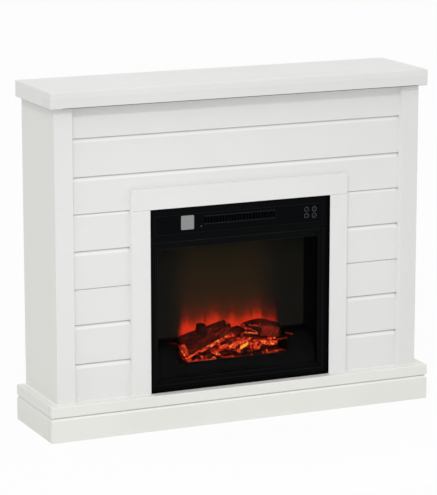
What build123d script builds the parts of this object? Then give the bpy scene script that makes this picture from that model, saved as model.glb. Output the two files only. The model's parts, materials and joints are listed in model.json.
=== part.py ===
"""Electric fireplace: a plank-fronted mantel on a plinth, with a flame-effect heater insert.

Millimetres. The origin is at the bottom centre, +Z is up, the front faces -Y and +X is the viewer's right.
"""
import os
from itertools import accumulate
from math import cos, pi, sin, sqrt

from build123d import *

os.makedirs("parts", exist_ok=True)

# Mantel body
body_width = 970.0  # across the outer faces of the side panels
body_depth = 221.0  # from the wall to the pilasters' faces
body_height = 717.0  # from the plinth's top to the shelf's underside
board = 15.0  # side and front panels, plinth deck
trim = 16.0  # pilasters, rail and stiles
pilaster_width = 47.0
trim_round = 1.5

# Plank joints milled across the front panels
lower_planks = (89.5, 96.5, 87.0, 93.0)  # plank heights up from the plinth
upper_planks = (89.5, 93.0)  # plank heights up from the opening's top
kerf_row = 2  # the joint above this lower plank, counted from 0, has no wide bevel
groove_depth = 4.5
groove_rise = 2.0  # short flank above the joint line
groove_drop = 11.0  # long bevel below the joint line
butt_drop = 7.0  # bevel on the lower panels' top edge
kerf_drop = 3.0

# Opening for the insert and the surround about it
opening_width = 482.0
opening_height = 456.0
stile_width = 48.0
rail_height = 50.0

# Shelf
shelf_overhang_side = 15.0
shelf_overhang_front = 20.0
shelf_board = 15.0
shelf_edge_height = 25.0
shelf_edge_width = 60.0
shelf_corner_round = 5.0
shelf_top_round = 3.0
shelf_bottom_round = 2.0

# Plinth
plinth_height = 88.0
plinth_step_side = 24.0
plinth_step_front = 23.0
plinth_board = 18.0
plinth_round = 2.5
plinth_groove_height = 60.0
plinth_groove_depth = 5.0
plinth_groove_rise = 3.0
plinth_groove_drop = 6.0

# Rear rail, wall plates and angle brackets
rear_rail_height = 60.0
wall_plate_spacing = 700.0
wall_plate_length = 60.0
wall_plate_height = 24.0
wall_plate_thickness = 2.0
wall_screw_radius = 2.75
wall_screw_passage_radius = 5.0
bracket_leg = 25.0
bracket_thickness = 2.0
bracket_width = 20.0
bracket_screw_offset = 15.0  # from the corner to the screw's axis
corner_bracket_margin = 75.0  # from the panel's ends to the end brackets
rear_bracket_margin = 60.0  # from the wall to the deck and shelf brackets

# Screws
screw_radius = 1.6
screw_head_radius = 3.6
screw_head_height = 2.0
wood_screw_length = 12.0
sheet_screw_length = 6.0

# Insert front frame
insert_recess = 8.0  # frame's face behind the surround's face
insert_gap = 0.5  # round the frame in the opening
frame_thickness = 15.0
frame_border = 18.5  # above the control panel
frame_side_border = 14.5
frame_bottom_border = 16.0
control_height = 48.0
mid_rail = 18.0
bevel_side = 9.0
bevel_top = 18.0
bevel_bottom = 9.0
bevel_depth = 9.0
frame_flange_length = 16.0
frame_flange_thickness = 1.5
casing_clearance = 11.0  # from the frame's outer edge to the casing
glass_thickness = 4.0
glass_overlap = 6.0
glass_gap = 0.3

# Control panel and buttons
panel_thickness = 3.0
panel_recess = 1.0
panel_gap = 0.3
panel_ledge = 6.0
grille_slots = 24
grille_pitch = 8.0
grille_slot_width = 4.2
grille_slot_height = 20.0
grille_offset = -1.2  # grille's centre from the middle of the panel
grille_rise = 5.5  # grille's centre above the panel's middle
button_radius = 6.4
button_gap = 0.3
button_proud = 0.8
button_travel = 0.8
button_flange_radius = 7.6
button_flange_thickness = 1.0
button_stem_radius = 2.0
button_stem_length = 1.5
button_dish_radius = 5.0
button_dish_depth = 0.4
button_pitch_x = 21.0
button_pitch_z = 16.0
button_group_inset = 35.5  # from the panel's right end to the group's centre
button_group_rise = 2.0
receiver_radius = 2.0
receiver_gap = 0.1
receiver_flange_radius = 3.4
receiver_flange_thickness = 1.0
receiver_proud = 0.5
receiver_x = -104.0
receiver_drop = 9.0  # below the panel's middle
board_thickness = 1.6
boss_length = 7.0
boss_radius = 2.5
control_board_margin_x = 13.0  # from the button axes to the board's ends
control_board_margin_z = 7.5
switch_size = 6.0
switch_gap = 0.2  # between the stem and the switch when pressed

# Casing and firebox
sheet = 1.0
casing_flange = 10.0
casing_flange_inset = 2.0  # from the corner to the end of a rear flange
casing_top_gap = 6.0  # from the casing's top to the opening's top
firebox_inset = 11.0  # from the casing's side plates to the firebox walls
firebox_depth = 76.0
rear_space = 60.0  # between the flame screen and the casing's back
wall_flange = 9.0
screen_thickness = 3.0
ceiling_rise = 6.0  # above the window's top edge
vent_slots = 12
vent_pitch = 16.0
vent_width = 5.0
vent_length = 30.0
vent_inset = 60.0  # from the casing's top to the rear vent row
casing_screw_rows = 4
casing_screw_margin = 24.0
frame_screw_rows = 3
insert_bracket_margin = 110.0  # from the casing's ends to the brackets
insert_bracket_reach = 26.0  # onto the front panel
insert_bracket_screw_offset = 14.0

# Fire bed
tray_setback = 1.0  # behind the front frame
tray_height = 60.0
tray_gap = 0.3
hearth_toe = 25.0  # from the plinth's top to the foot of the tray's curved front
hearth_crest = 110.0
hearth_open_left = 156.0  # ends of the opening that the ember bed stands in
hearth_open_right = 142.0
tray_window_margin = 10.0
bed_left = 130.0
bed_right = 118.0
bed_setback = 6.0  # behind the front edge of the tray's opening
bed_wall = 3.0
# Ember bed's section: its corners' places back, and their shares of the crest's and the rear ridge's height
bed_corners = (0.0, 2.0, 10.0, 20.0, 36.0, 50.0, 58.0)
bed_crest_shares = (0, 0.25, 0.62, 1, 0, 0, 0)
bed_ridge_shares = (0, 0, 0, 0, 1, 0.8, 0)
bed_crest_heights = (12.0, 18.0, 27.0, 43.0, 58.0, 46.0, 40.0, 36.0, 28.0)  # evenly spaced from left to right
bed_ridge_heights = (36.0, 43.0, 50.0, 56.0, 62.0, 46.0, 40.0, 36.0, 28.0)
lump_corner = 2  # the section's corner that the lumps sit on, counted from 0
lump_count = 13
lump_radius = 5.5
lump_swing = 0.25  # share by which the lumps' radii differ
lump_size_step = 1.7  # radians from one lump's size to the next
lump_stagger_step = 2.3  # radians from one lump's place to the next
log_facets = 9
log_rings = 5
log_lobes = 3
log_roughness = 0.1
log_twist_step = 1.9  # radians from one section's lobes to the next

# Logs: end points across, back from the ember bed's front edge and up from the tray, with end radii
rear_left_log_ends = ((-131.0, 35.5, 44.0), (-10.0, 42.0, 73.0))
rear_left_log_radii = (15.0, 14.0)
rear_left_stub_ends = ((-80.0, 36.0, 58.0), (-78.0, 34.0, 83.0))
rear_left_stub_radii = (13.0, 12.5)
front_left_log_ends = ((-126.0, 18.0, 14.0), (-4.0, 18.0, 66.0))
front_left_log_radii = (12.0, 9.5)
right_log_ends = ((34.0, 31.0, 55.0), (130.0, 35.0, 46.0))
right_log_radii = (19.0, 20.0)

# LED board and the posts that boards stand on
led_board_width = 230.0
led_board_depth = 40.0
led_board_rise = 6.0
led_count = 14
led_rows = 2
led_size = 5.0
led_height = 2.0
standoff_radius = 3.0
standoff_inset = 6.0

# Flicker spindle and its drive
spindle_height = 87.0  # axis above the plinth's top
spindle_radius = 2.0
spindle_clearance = 0.05
spindle_fin_count = 15
spindle_fin_width = 18.0
spindle_fin_pitch = 24.0
spindle_fin_diameter = 38.0
spindle_fin_thickness = 0.8
spindle_bracket_thickness = 4.0
spindle_bracket_width = 24.0
spindle_bracket_foot = 14.0
spindle_end_inset = 20.0  # from the casing's side plate to the bracket
flicker_motor_radius = 24.0
flicker_motor_length = 19.0
spindle_insert = 8.0  # shaft's reach into the motor
spindle_end_gap = 0.5
spindle_fin_turn = 60.0  # degrees from one fin to the next

# Blower and heater
blower_height = 44.0  # axis above the ceiling plate
blower_rear_inset = 40.0  # axis in front of the casing's back
rotor_radius = 22.0
rotor_length = 190.0
rotor_disc = 1.5
rotor_blades = 20
rotor_blade_width = 6.0
rotor_blade_inset = 3.6  # from the rim to the blades' middles
rotor_blade_thickness = 0.8
rotor_blade_tilt = 30.0
scroll_gap = 5.0
scroll_turn = 150.0
fan_shaft_radius = 2.5
fan_shaft_overhang = 3.0
rotor_end_gap = 2.0
duct_knee = 47.0  # from the axis forward to the duct's knee
duct_front_low = 1.0  # duct's lower lip above the axis
duct_front_high = 29.0
duct_tongue_reach = 24.0
duct_tongue_rise = 11.0
duct_setback = 0.5
blower_side_rear = 29.0
heater_depth = 12.0
heater_height = 26.0
heater_setback = 16.0  # behind the frame
heater_rise = 7.0  # centre above the blower's axis
heater_bar = 3.0
heater_fins = 40
heater_fin_thickness = 0.8
cutout_radius = 8.0
cutout_height = 5.0
cutout_setback = 30.0
cutout_rise = 12.0
motor_stack = 18.0
motor_gap = 13.0  # from the blower's side plate to the stack
motor_half_width = 26.0
motor_half_height = 22.0
motor_rotor_radius = 10.5
motor_air_gap = 0.5
motor_coil_width = 12.0
motor_coil_half_height = 16.0
motor_coil_overhang = 8.0
motor_bearing_gap = 6.0
motor_bearing_thickness = 3.0
motor_bearing_strut = 4.0

# Electrics
power_board_width = 95.0
power_board_depth = 80.0
power_board_side_gap = 13.0
power_board_front_gap = 26.0
power_board_rise = 8.0
relay_count = 3
relay_size = 15.0
relay_pitch = 22.5
transformer_size = 24.0
capacitor_radius = 6.0
gland_radius = 6.5
gland_gap = 0.2
gland_bore_radius = 3.6
gland_flange_radius = 10.0
gland_flange_thickness = 3.0
gland_body_length = 9.0
gland_x = -175.0
gland_drop = 40.0  # below the casing's top

# Planes and edges that follow from the sizes
wall_y = (body_depth + plinth_step_front) / 2
pilaster_face = wall_y - body_depth
panel_face = pilaster_face + trim
panel_back = panel_face + board
shelf_face = pilaster_face - shelf_overhang_front
plinth_face = pilaster_face - plinth_step_front
body_half = body_width / 2
inner_half = body_half - board
shelf_half = body_half + shelf_overhang_side
plinth_half = body_half + plinth_step_side
shelf_base = plinth_height + body_height
shelf_joint = shelf_base + shelf_edge_height
shelf_top_z = shelf_joint + shelf_board
opening_half = opening_width / 2
opening_top = plinth_height + opening_height
surround_half = opening_half + stile_width

frame_face = pilaster_face + insert_recess
frame_back = frame_face + frame_thickness
frame_half = opening_half - insert_gap
frame_base = plinth_height + insert_gap
frame_top = opening_top - insert_gap
control_half = frame_half - frame_side_border
control_top = frame_top - frame_border
control_base = control_top - control_height
control_middle = (control_top + control_base) / 2
bevel_half = control_half
bevel_high = control_base - mid_rail
bevel_low = frame_base + frame_bottom_border
window_half = bevel_half - bevel_side
window_high = bevel_high - bevel_top
window_low = bevel_low + bevel_bottom
glass_half = window_half + glass_overlap
glass_front = frame_back - glass_thickness

casing_half = frame_half - casing_clearance
casing_base = plinth_height
casing_top = opening_top - casing_top_gap
screen_front = frame_back + firebox_depth
screen_back = screen_front + screen_thickness
casing_rear = screen_back + rear_space
casing_floor = casing_base + sheet
casing_lid = casing_top - sheet
flange_half = casing_half - sheet
flange_inner_half = flange_half - frame_flange_thickness
firebox_half = flange_half - firebox_inset
ceiling_base = window_high + ceiling_rise
ceiling_top = ceiling_base + sheet

panel_front = frame_face + panel_recess
panel_rear = panel_front + panel_thickness
control_board_front = panel_rear + boss_length

tray_face = frame_back + tray_setback
tray_rear = screen_front - tray_gap
tray_top = plinth_height + tray_height
toe_z = plinth_height + hearth_toe
hearth_depth = tray_rear - tray_face
hearth_rise = hearth_crest - hearth_toe
# Front edge of the tray's opening, where the curved front reaches the level of the bed
hearth_edge = tray_rear - hearth_depth * sqrt(1 - ((tray_top - toe_z) / hearth_rise) ** 2)
bed_front = hearth_edge + bed_setback
bed_depth = bed_corners[-1]
bed_back = bed_front + bed_depth

spindle_y = (screen_back + casing_rear) / 2
spindle_z = plinth_height + spindle_height
spindle_end = flange_half - spindle_end_inset

blower_y = casing_rear - blower_rear_inset
blower_z = ceiling_top + blower_height
blower_half = rotor_length / 2 + rotor_end_gap
duct_front = frame_back + duct_setback

BASE = (Align.CENTER, Align.CENTER, Align.MIN)
TOP = (Align.CENTER, Align.CENTER, Align.MAX)
SIDES = ((-1, "left"), (1, "right"))


def save(part, name):
    """Label a finished piece and write it to its own file."""
    part.label = name
    export_step(part, f"parts/{name}.step")


def block(x, y, z, mode=Mode.ADD):
    """A box between two values on each axis."""
    spans = [sorted(span) for span in (x, y, z)]
    with Locations(tuple((low + high) / 2 for low, high in spans)):
        Box(*(high - low for low, high in spans), mode=mode)


def prism(points, plane, length, mode=Mode.ADD):
    """A straight-sided outline on a plane, carried along the plane's normal."""
    with BuildSketch(plane) as outline:
        Polygon(*points, align=None)
    extrude(outline.sketch, amount=length, mode=mode)


def rod(start, length, radius, mode=Mode.ADD):
    """A round rod along +X from a start point."""
    with Locations(Plane(origin=start, z_dir=(1, 0, 0))):
        Cylinder(radius, length, align=BASE, mode=mode)


def front_groove(half_width, face, height, depth, rise, drop):
    """Cut a joint across a board's front: a short flank above the line and a bevel below it."""
    flanks = ((face, height - drop), (face + depth, height), (face, height + rise))
    prism(flanks, Plane.YZ.offset(-half_width), 2 * half_width, Mode.SUBTRACT)


def screws(places, length):
    """Pan-head screws, each with its head standing on a place and its shank going in behind it."""
    with Locations(*places):
        Cylinder(screw_head_radius, screw_head_height, align=BASE)
        Cylinder(screw_radius, length, align=TOP)


def screw_holes(places, depth):
    """Holes behind the given places, as wide as the screws."""
    with Locations(*places):
        Cylinder(screw_radius, depth, align=TOP, mode=Mode.SUBTRACT)


def rows(low, high, count):
    """Evenly spaced values from low to high."""
    return [low + (high - low) * step / (count - 1) for step in range(count)]


# Places of the screws, each facing out of the work
corner_bracket_heights = rows(plinth_height + corner_bracket_margin, shelf_base - corner_bracket_margin, 3)
rear_bracket_y = wall_y - rear_bracket_margin
insert_bracket_heights = rows(casing_base + insert_bracket_margin, casing_top - insert_bracket_margin, 2)
casing_screw_heights = rows(
    casing_base + casing_screw_margin, casing_top - casing_screw_margin, casing_screw_rows
)
frame_screw_heights = rows(
    casing_base + casing_screw_margin, casing_top - casing_screw_margin, frame_screw_rows
)


def front_panel_places(side):
    """Screws through the corner brackets into the back of the front panels."""
    x = side * (inner_half - bracket_screw_offset)
    return [Plane((x, panel_back + bracket_thickness, z), z_dir=(0, 1, 0)) for z in corner_bracket_heights]


def side_panel_places(side):
    """Screws through the corner, deck and shelf brackets into a side panel."""
    x = side * (inner_half - bracket_thickness)
    spots = [(x, panel_back + bracket_screw_offset, z) for z in corner_bracket_heights]
    spots.append((x, rear_bracket_y, plinth_height + bracket_screw_offset))
    spots.append((x, rear_bracket_y, shelf_base - bracket_screw_offset))
    return [Plane(spot, z_dir=(-side, 0, 0)) for spot in spots]


def deck_place(side):
    """Screw through a deck bracket into the plinth's deck."""
    spot = (side * (inner_half - bracket_screw_offset), rear_bracket_y, plinth_height + bracket_thickness)
    return Plane(spot, z_dir=(0, 0, 1))


def shelf_place(side):
    """Screw through a shelf bracket into the shelf's edge strip."""
    spot = (side * (inner_half - bracket_screw_offset), rear_bracket_y, shelf_base - bracket_thickness)
    return Plane(spot, z_dir=(0, 0, -1))


def insert_wood_places(side):
    """Screws through the insert brackets into the back of a lower front panel."""
    x = side * (opening_half + insert_bracket_screw_offset)
    return [Plane((x, panel_back + bracket_thickness, z), z_dir=(0, 1, 0)) for z in insert_bracket_heights]


def insert_sheet_places(side):
    """Screws through the insert brackets into a casing side plate."""
    x = side * (casing_half + bracket_thickness)
    y = panel_back + bracket_screw_offset
    return [Plane((x, y, z), z_dir=(side, 0, 0)) for z in insert_bracket_heights]


def frame_flange_places(side):
    """Screws through a casing side plate into the front frame's flange."""
    y = frame_back + frame_flange_length / 2
    return [Plane((side * casing_half, y, z), z_dir=(side, 0, 0)) for z in frame_screw_heights]


def casing_back_places(side):
    """Screws through the casing's back into a side plate's flange."""
    x = side * (flange_half - casing_flange / 2)
    return [Plane((x, casing_rear + sheet, z), z_dir=(0, 1, 0)) for z in casing_screw_heights]


# Shelf: a top board on a frame of edge strips
with BuildPart() as shelf_top:
    block((-shelf_half, shelf_half), (shelf_face, wall_y), (shelf_joint, shelf_top_z))
    fillet(shelf_top.edges().filter_by(Axis.Z).group_by(Axis.Y)[0], radius=shelf_corner_round)
    upper_face = shelf_top.faces().sort_by(Axis.Z)[-1]
    fillet(upper_face.edges().sort_by(Axis.Y)[:-1], radius=shelf_top_round)
save(shelf_top.part, "shelf_top")

with BuildPart() as shelf_front_edge:
    block((-shelf_half, shelf_half), (shelf_face, shelf_face + shelf_edge_width), (shelf_base, shelf_joint))
    fillet(shelf_front_edge.edges().filter_by(Axis.Z).group_by(Axis.Y)[0], radius=shelf_corner_round)
    under_face = shelf_front_edge.faces().sort_by(Axis.Z)[0]
    fillet(under_face.edges().sort_by(Axis.Y)[:-1], radius=shelf_bottom_round)
save(shelf_front_edge.part, "shelf_front_edge")

for side, name in SIDES:
    with BuildPart() as shelf_side_edge:
        block(
            (side * shelf_half, side * (shelf_half - shelf_edge_width)),
            (shelf_face + shelf_edge_width, wall_y),
            (shelf_base, shelf_joint),
        )
        lower_edges = shelf_side_edge.edges().filter_by(Axis.Y).group_by(Axis.Z)[0]
        fillet(lower_edges.sort_by(Axis.X)[-1 if side > 0 else 0], radius=shelf_bottom_round)
        screw_holes([shelf_place(side)], wood_screw_length)
    save(shelf_side_edge.part, f"shelf_{name}_edge")

# Body: side panels with pilasters on their front edges
for side, name in SIDES:
    with BuildPart() as side_panel:
        block((side * inner_half, side * body_half), (panel_face, wall_y), (plinth_height, shelf_base))
        screw_holes(side_panel_places(side), wood_screw_length)
    save(side_panel.part, f"{name}_side_panel")

    with BuildPart() as pilaster:
        block(
            (side * (body_half - pilaster_width), side * body_half),
            (pilaster_face, panel_face),
            (plinth_height, shelf_base),
        )
        fillet(pilaster.edges().filter_by(Axis.Z).group_by(Axis.Y)[0], radius=trim_round)
    save(pilaster.part, f"{name}_pilaster")

# Front panels with plank joints milled across them
with BuildPart() as upper_front_panel:
    block((-inner_half, inner_half), (panel_face, panel_back), (opening_top, shelf_base))
    for rise in accumulate(upper_planks):
        front_groove(inner_half, panel_face, opening_top + rise, groove_depth, groove_rise, groove_drop)
    front_groove(inner_half, panel_face, opening_top, groove_depth, groove_rise, butt_drop)
    for side, name in SIDES:
        screw_holes(front_panel_places(side)[2:], wood_screw_length)
save(upper_front_panel.part, "upper_front_panel")

for side, name in SIDES:
    with BuildPart() as front_panel:
        panel_x = (side * opening_half, side * inner_half)
        block(panel_x, (panel_face, panel_back), (plinth_height, opening_top))
        for row, rise in enumerate(accumulate(lower_planks)):
            drop = kerf_drop if row == kerf_row else groove_drop
            front_groove(inner_half, panel_face, plinth_height + rise, groove_depth, groove_rise, drop)
        front_groove(inner_half, panel_face, opening_top, groove_depth, groove_rise, butt_drop)
        screw_holes(front_panel_places(side)[:2] + insert_wood_places(side), wood_screw_length)
    save(front_panel.part, f"{name}_front_panel")

# Surround: a top rail that runs over two stiles
with BuildPart() as surround_top_rail:
    rail_z = (opening_top, opening_top + rail_height)
    block((-surround_half, surround_half), (pilaster_face, panel_face), rail_z)
    fillet(surround_top_rail.edges().filter_by(Axis.Z).group_by(Axis.Y)[0], radius=trim_round)
    front_edges = surround_top_rail.edges().filter_by(Axis.X).group_by(Axis.Y)[0]
    fillet(front_edges.sort_by(Axis.Z)[-1], radius=trim_round)
save(surround_top_rail.part, "surround_top_rail")

for side, name in SIDES:
    with BuildPart() as stile:
        stile_x = (side * opening_half, side * surround_half)
        block(stile_x, (pilaster_face, panel_face), (plinth_height, opening_top))
        fillet(stile.edges().filter_by(Axis.Z).group_by(Axis.Y)[0], radius=trim_round)
    save(stile.part, f"surround_{name}_stile")

# Plinth: grooved boards on three sides, a rear board and a deck between them
plinth_front_back = plinth_face + plinth_board
plinth_inner_half = plinth_half - plinth_board
deck_base = plinth_height - board


def side_groove(side, y):
    """Cut the plinth's groove along a face that looks sideways."""
    face = side * plinth_half
    flanks = (
        (face, plinth_groove_height - plinth_groove_drop),
        (face - side * plinth_groove_depth, plinth_groove_height),
        (face, plinth_groove_height + plinth_groove_rise),
    )
    # The plane's normal is -Y, so the outline starts at the far end
    prism(flanks, Plane.XZ.offset(-y[1]), y[1] - y[0], Mode.SUBTRACT)


with BuildPart() as plinth_front:
    block((-plinth_half, plinth_half), (plinth_face, plinth_front_back), (0, plinth_height))
    front_groove(
        plinth_half,
        plinth_face,
        plinth_groove_height,
        plinth_groove_depth,
        plinth_groove_rise,
        plinth_groove_drop,
    )
    for side, name in SIDES:
        side_groove(side, (plinth_face, plinth_front_back))
    upper_face = plinth_front.faces().sort_by(Axis.Z)[-1]
    fillet(upper_face.edges().sort_by(Axis.Y)[0], radius=plinth_round)
save(plinth_front.part, "plinth_front")

for side, name in SIDES:
    with BuildPart() as plinth_side:
        block((side * plinth_inner_half, side * plinth_half), (plinth_front_back, wall_y), (0, plinth_height))
        side_groove(side, (plinth_front_back, wall_y))
    save(plinth_side.part, f"plinth_{name}")

with BuildPart() as plinth_deck:
    block((-plinth_inner_half, plinth_inner_half), (plinth_front_back, wall_y), (deck_base, plinth_height))
    screw_holes([deck_place(side) for side, name in SIDES], wood_screw_length)
save(plinth_deck.part, "plinth_deck")

with BuildPart() as plinth_rear:
    block((-plinth_inner_half, plinth_inner_half), (wall_y - board, wall_y), (0, deck_base))
save(plinth_rear.part, "plinth_rear")

# Rear rail under the shelf, with two plates let into it for the wall screws
wall_plate_z = shelf_base - rear_rail_height / 2
wall_plate_xs = (-wall_plate_spacing / 2, wall_plate_spacing / 2)
wall_places = [Plane((x, wall_y, wall_plate_z), z_dir=(0, 1, 0)) for x in wall_plate_xs]


def wall_plate_blocks(mode):
    """The two plates' own shape, as solids or as the pockets that take them."""
    for x in wall_plate_xs:
        block(
            (x - wall_plate_length / 2, x + wall_plate_length / 2),
            (wall_y - wall_plate_thickness, wall_y),
            (wall_plate_z - wall_plate_height / 2, wall_plate_z + wall_plate_height / 2),
            mode,
        )


with BuildPart() as rear_top_rail:
    block((-inner_half, inner_half), (wall_y - board, wall_y), (shelf_base - rear_rail_height, shelf_base))
    tongue_half = shelf_half - shelf_edge_width
    block((-tongue_half, tongue_half), (wall_y - board, wall_y), (shelf_base, shelf_joint))
    wall_plate_blocks(Mode.SUBTRACT)
    with Locations(*wall_places):
        Cylinder(wall_screw_passage_radius, board, align=TOP, mode=Mode.SUBTRACT)
save(rear_top_rail.part, "rear_top_rail")

with BuildPart() as wall_plates:
    wall_plate_blocks(Mode.ADD)
    with Locations(*wall_places):
        Cylinder(wall_screw_radius, wall_plate_thickness, align=TOP, mode=Mode.SUBTRACT)
save(wall_plates.part, "wall_plates")

# Angle brackets in the body's corners
half_bracket = bracket_width / 2
with BuildPart() as angle_brackets:
    for side, name in SIDES:
        leg_x = (side * (inner_half - bracket_leg), side * inner_half)
        plate_x = (side * (inner_half - bracket_thickness), side * inner_half)
        for z in corner_bracket_heights:
            level = (z - half_bracket, z + half_bracket)
            block(leg_x, (panel_back, panel_back + bracket_thickness), level)
            block(plate_x, (panel_back, panel_back + bracket_leg), level)
        depth = (rear_bracket_y - half_bracket, rear_bracket_y + half_bracket)
        block(leg_x, depth, (plinth_height, plinth_height + bracket_thickness))
        block(plate_x, depth, (plinth_height, plinth_height + bracket_leg))
        block(leg_x, depth, (shelf_base - bracket_thickness, shelf_base))
        block(plate_x, depth, (shelf_base - bracket_leg, shelf_base))
        bracket_places = front_panel_places(side) + side_panel_places(side)
        bracket_places += [deck_place(side), shelf_place(side)]
        screw_holes(bracket_places, bracket_thickness)
save(angle_brackets.part, "angle_brackets")

with BuildPart() as insert_brackets:
    for side, name in SIDES:
        for z in insert_bracket_heights:
            level = (z - half_bracket, z + half_bracket)
            near_x = side * casing_half
            block(
                (near_x, side * (opening_half + insert_bracket_reach)),
                (panel_back, panel_back + bracket_thickness),
                level,
            )
            block(
                (near_x, side * (casing_half + bracket_thickness)),
                (panel_back, panel_back + bracket_leg),
                level,
            )
        screw_holes(insert_wood_places(side) + insert_sheet_places(side), bracket_thickness)
save(insert_brackets.part, "insert_brackets")

with BuildPart() as wood_screws:
    for side, name in SIDES:
        wood_places = front_panel_places(side) + side_panel_places(side) + insert_wood_places(side)
        screws(wood_places + [deck_place(side), shelf_place(side)], wood_screw_length)
save(wood_screws.part, "wood_screws")

# Insert front frame: border, control pocket, bevelled window and a flange for the casing
ledge_half = control_half - panel_ledge
ledge_z = (control_base + panel_ledge, control_top - panel_ledge)
frame_y = (frame_face, frame_back)
with BuildPart() as front_frame:
    block((-frame_half, frame_half), frame_y, (frame_base, frame_top))
    pocket_y = (frame_face, panel_rear)
    block((-control_half, control_half), pocket_y, (control_base, control_top), Mode.SUBTRACT)
    block((-ledge_half, ledge_half), frame_y, ledge_z, Mode.SUBTRACT)
    with BuildSketch(Plane.XZ.offset(-frame_face)) as bevel_mouth:
        with Locations((0, (bevel_low + bevel_high) / 2)):
            Rectangle(2 * bevel_half, bevel_high - bevel_low)
    with BuildSketch(Plane.XZ.offset(-frame_face - bevel_depth)) as bevel_throat:
        with Locations((0, (window_low + window_high) / 2)):
            Rectangle(2 * window_half, window_high - window_low)
    loft(mode=Mode.SUBTRACT)
    block((-window_half, window_half), frame_y, (window_low, window_high), Mode.SUBTRACT)
    block(
        (-glass_half, glass_half),
        (glass_front, frame_back),
        (window_low - glass_overlap, window_high + glass_overlap),
        Mode.SUBTRACT,
    )
    flange_y = (frame_back, frame_back + frame_flange_length)
    for side, name in SIDES:
        block((side * flange_inner_half, side * flange_half), flange_y, (casing_floor, casing_lid))
    block((-flange_half, flange_half), flange_y, (casing_lid - frame_flange_thickness, casing_lid))
    for side, name in SIDES:
        screw_holes(frame_flange_places(side), sheet + frame_flange_thickness)
save(front_frame.part, "front_frame")

with BuildPart() as front_glass:
    block(
        (-glass_half + glass_gap, glass_half - glass_gap),
        (glass_front, frame_back),
        (window_low - glass_overlap + glass_gap, window_high + glass_overlap - glass_gap),
    )
save(front_glass.part, "front_glass")

# Control panel with its grille, button holes and bosses for the control board
button_x = control_half - button_group_inset
button_z = control_middle + button_group_rise
button_spots = {
    "power_button": (button_x - button_pitch_x / 2, button_z + button_pitch_z / 2),
    "flame_button": (button_x + button_pitch_x / 2, button_z + button_pitch_z / 2),
    "low_heat_button": (button_x - button_pitch_x / 2, button_z - button_pitch_z / 2),
    "high_heat_button": (button_x + button_pitch_x / 2, button_z - button_pitch_z / 2),
}
board_half_x = button_pitch_x / 2 + control_board_margin_x
board_half_z = button_pitch_z / 2 + control_board_margin_z
boss_spots = [
    (button_x + across * (board_half_x - boss_radius), button_z + up * (board_half_z - boss_radius))
    for across in (-1, 1)
    for up in (-1, 1)
]
receiver_z = control_middle - receiver_drop


def facing_front(spots, y):
    """Planes at the given x and z, on one y, looking to the front."""
    return [Plane((x, y, z), z_dir=(0, -1, 0)) for x, z in spots]


with BuildPart() as control_panel:
    block(
        (-control_half + panel_gap, control_half - panel_gap),
        (panel_front, panel_rear),
        (control_base + panel_gap, control_top - panel_gap),
    )
    with BuildSketch(Plane.XZ.offset(-panel_rear)):
        with Locations((grille_offset, control_middle + grille_rise)):
            with GridLocations(grille_pitch, grille_pitch, grille_slots, 1):
                SlotOverall(grille_slot_height, grille_slot_width, rotation=90)
    extrude(amount=panel_thickness, mode=Mode.SUBTRACT)
    with Locations(*facing_front(button_spots.values(), panel_front)):
        Cylinder(button_radius + button_gap, panel_thickness, align=TOP, mode=Mode.SUBTRACT)
    with Locations(*facing_front([(receiver_x, receiver_z)], panel_front)):
        Cylinder(receiver_radius + receiver_gap, panel_thickness, align=TOP, mode=Mode.SUBTRACT)
    with Locations(*facing_front(boss_spots, panel_rear)):
        Cylinder(boss_radius, boss_length, align=TOP)
save(control_panel.part, "control_panel")

with BuildPart() as receiver_lens:
    with Locations(*facing_front([(receiver_x, receiver_z)], panel_rear)):
        Cylinder(receiver_radius, panel_thickness + receiver_proud, align=BASE)
        Cylinder(receiver_flange_radius, receiver_flange_thickness, align=TOP)
    fillet(receiver_lens.edges().filter_by(GeomType.CIRCLE).sort_by(Axis.Y)[0], radius=receiver_proud)
save(receiver_lens.part, "receiver_lens")

# Buttons: a dished cap through the panel, a flange behind it and a stem to the switch
button_flange_front = panel_rear + button_gap
button_flange_back = button_flange_front + button_flange_thickness
button_stem_end = button_flange_back + button_stem_length
for name, spot in button_spots.items():
    with BuildPart() as button:
        cap_height = button_flange_front - panel_front + button_proud
        with Locations(*facing_front([spot], button_flange_front)):
            Cylinder(button_radius, cap_height, align=BASE)
            Cylinder(button_flange_radius, button_flange_thickness, align=TOP)
        with Locations(*facing_front([spot], button_flange_back)):
            Cylinder(button_stem_radius, button_stem_length, align=TOP)
        with Locations(*facing_front([spot], panel_front - button_proud)):
            Cylinder(button_dish_radius, button_dish_depth, align=TOP, mode=Mode.SUBTRACT)
    save(button.part, name)

with BuildPart() as control_board:
    block(
        (button_x - board_half_x, button_x + board_half_x),
        (control_board_front, control_board_front + board_thickness),
        (button_z - board_half_z, button_z + board_half_z),
    )
    switch_height = control_board_front - button_stem_end - button_travel - switch_gap
    with Locations(*facing_front(button_spots.values(), control_board_front)):
        Box(switch_size, switch_size, switch_height, align=BASE)
save(control_board.part, "control_board")

# Casing: five sheet plates, the outer four with flanges for the back plate
flange_end = casing_flange + casing_flange_inset
flange_z = (casing_floor + flange_end, casing_lid - flange_end)
rear_flange_y = (casing_rear - sheet, casing_rear)
plate_y = (frame_back, casing_rear)
for side, name in SIDES:
    with BuildPart() as casing_side:
        block((side * flange_half, side * casing_half), plate_y, (casing_floor, casing_lid))
        block((side * (flange_half - casing_flange), side * flange_half), rear_flange_y, flange_z)
        sheet_places = frame_flange_places(side) + casing_back_places(side)
        screw_holes(sheet_places, 2 * sheet)
        screw_holes(insert_sheet_places(side), bracket_thickness + sheet)
    save(casing_side.part, f"casing_{name}")

flange_x = (-flange_half + casing_flange_inset, flange_half - casing_flange_inset)
with BuildPart() as casing_bottom:
    block((-casing_half, casing_half), plate_y, (casing_base, casing_floor))
    block(flange_x, rear_flange_y, (casing_floor, casing_floor + casing_flange))
save(casing_bottom.part, "casing_bottom")


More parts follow.
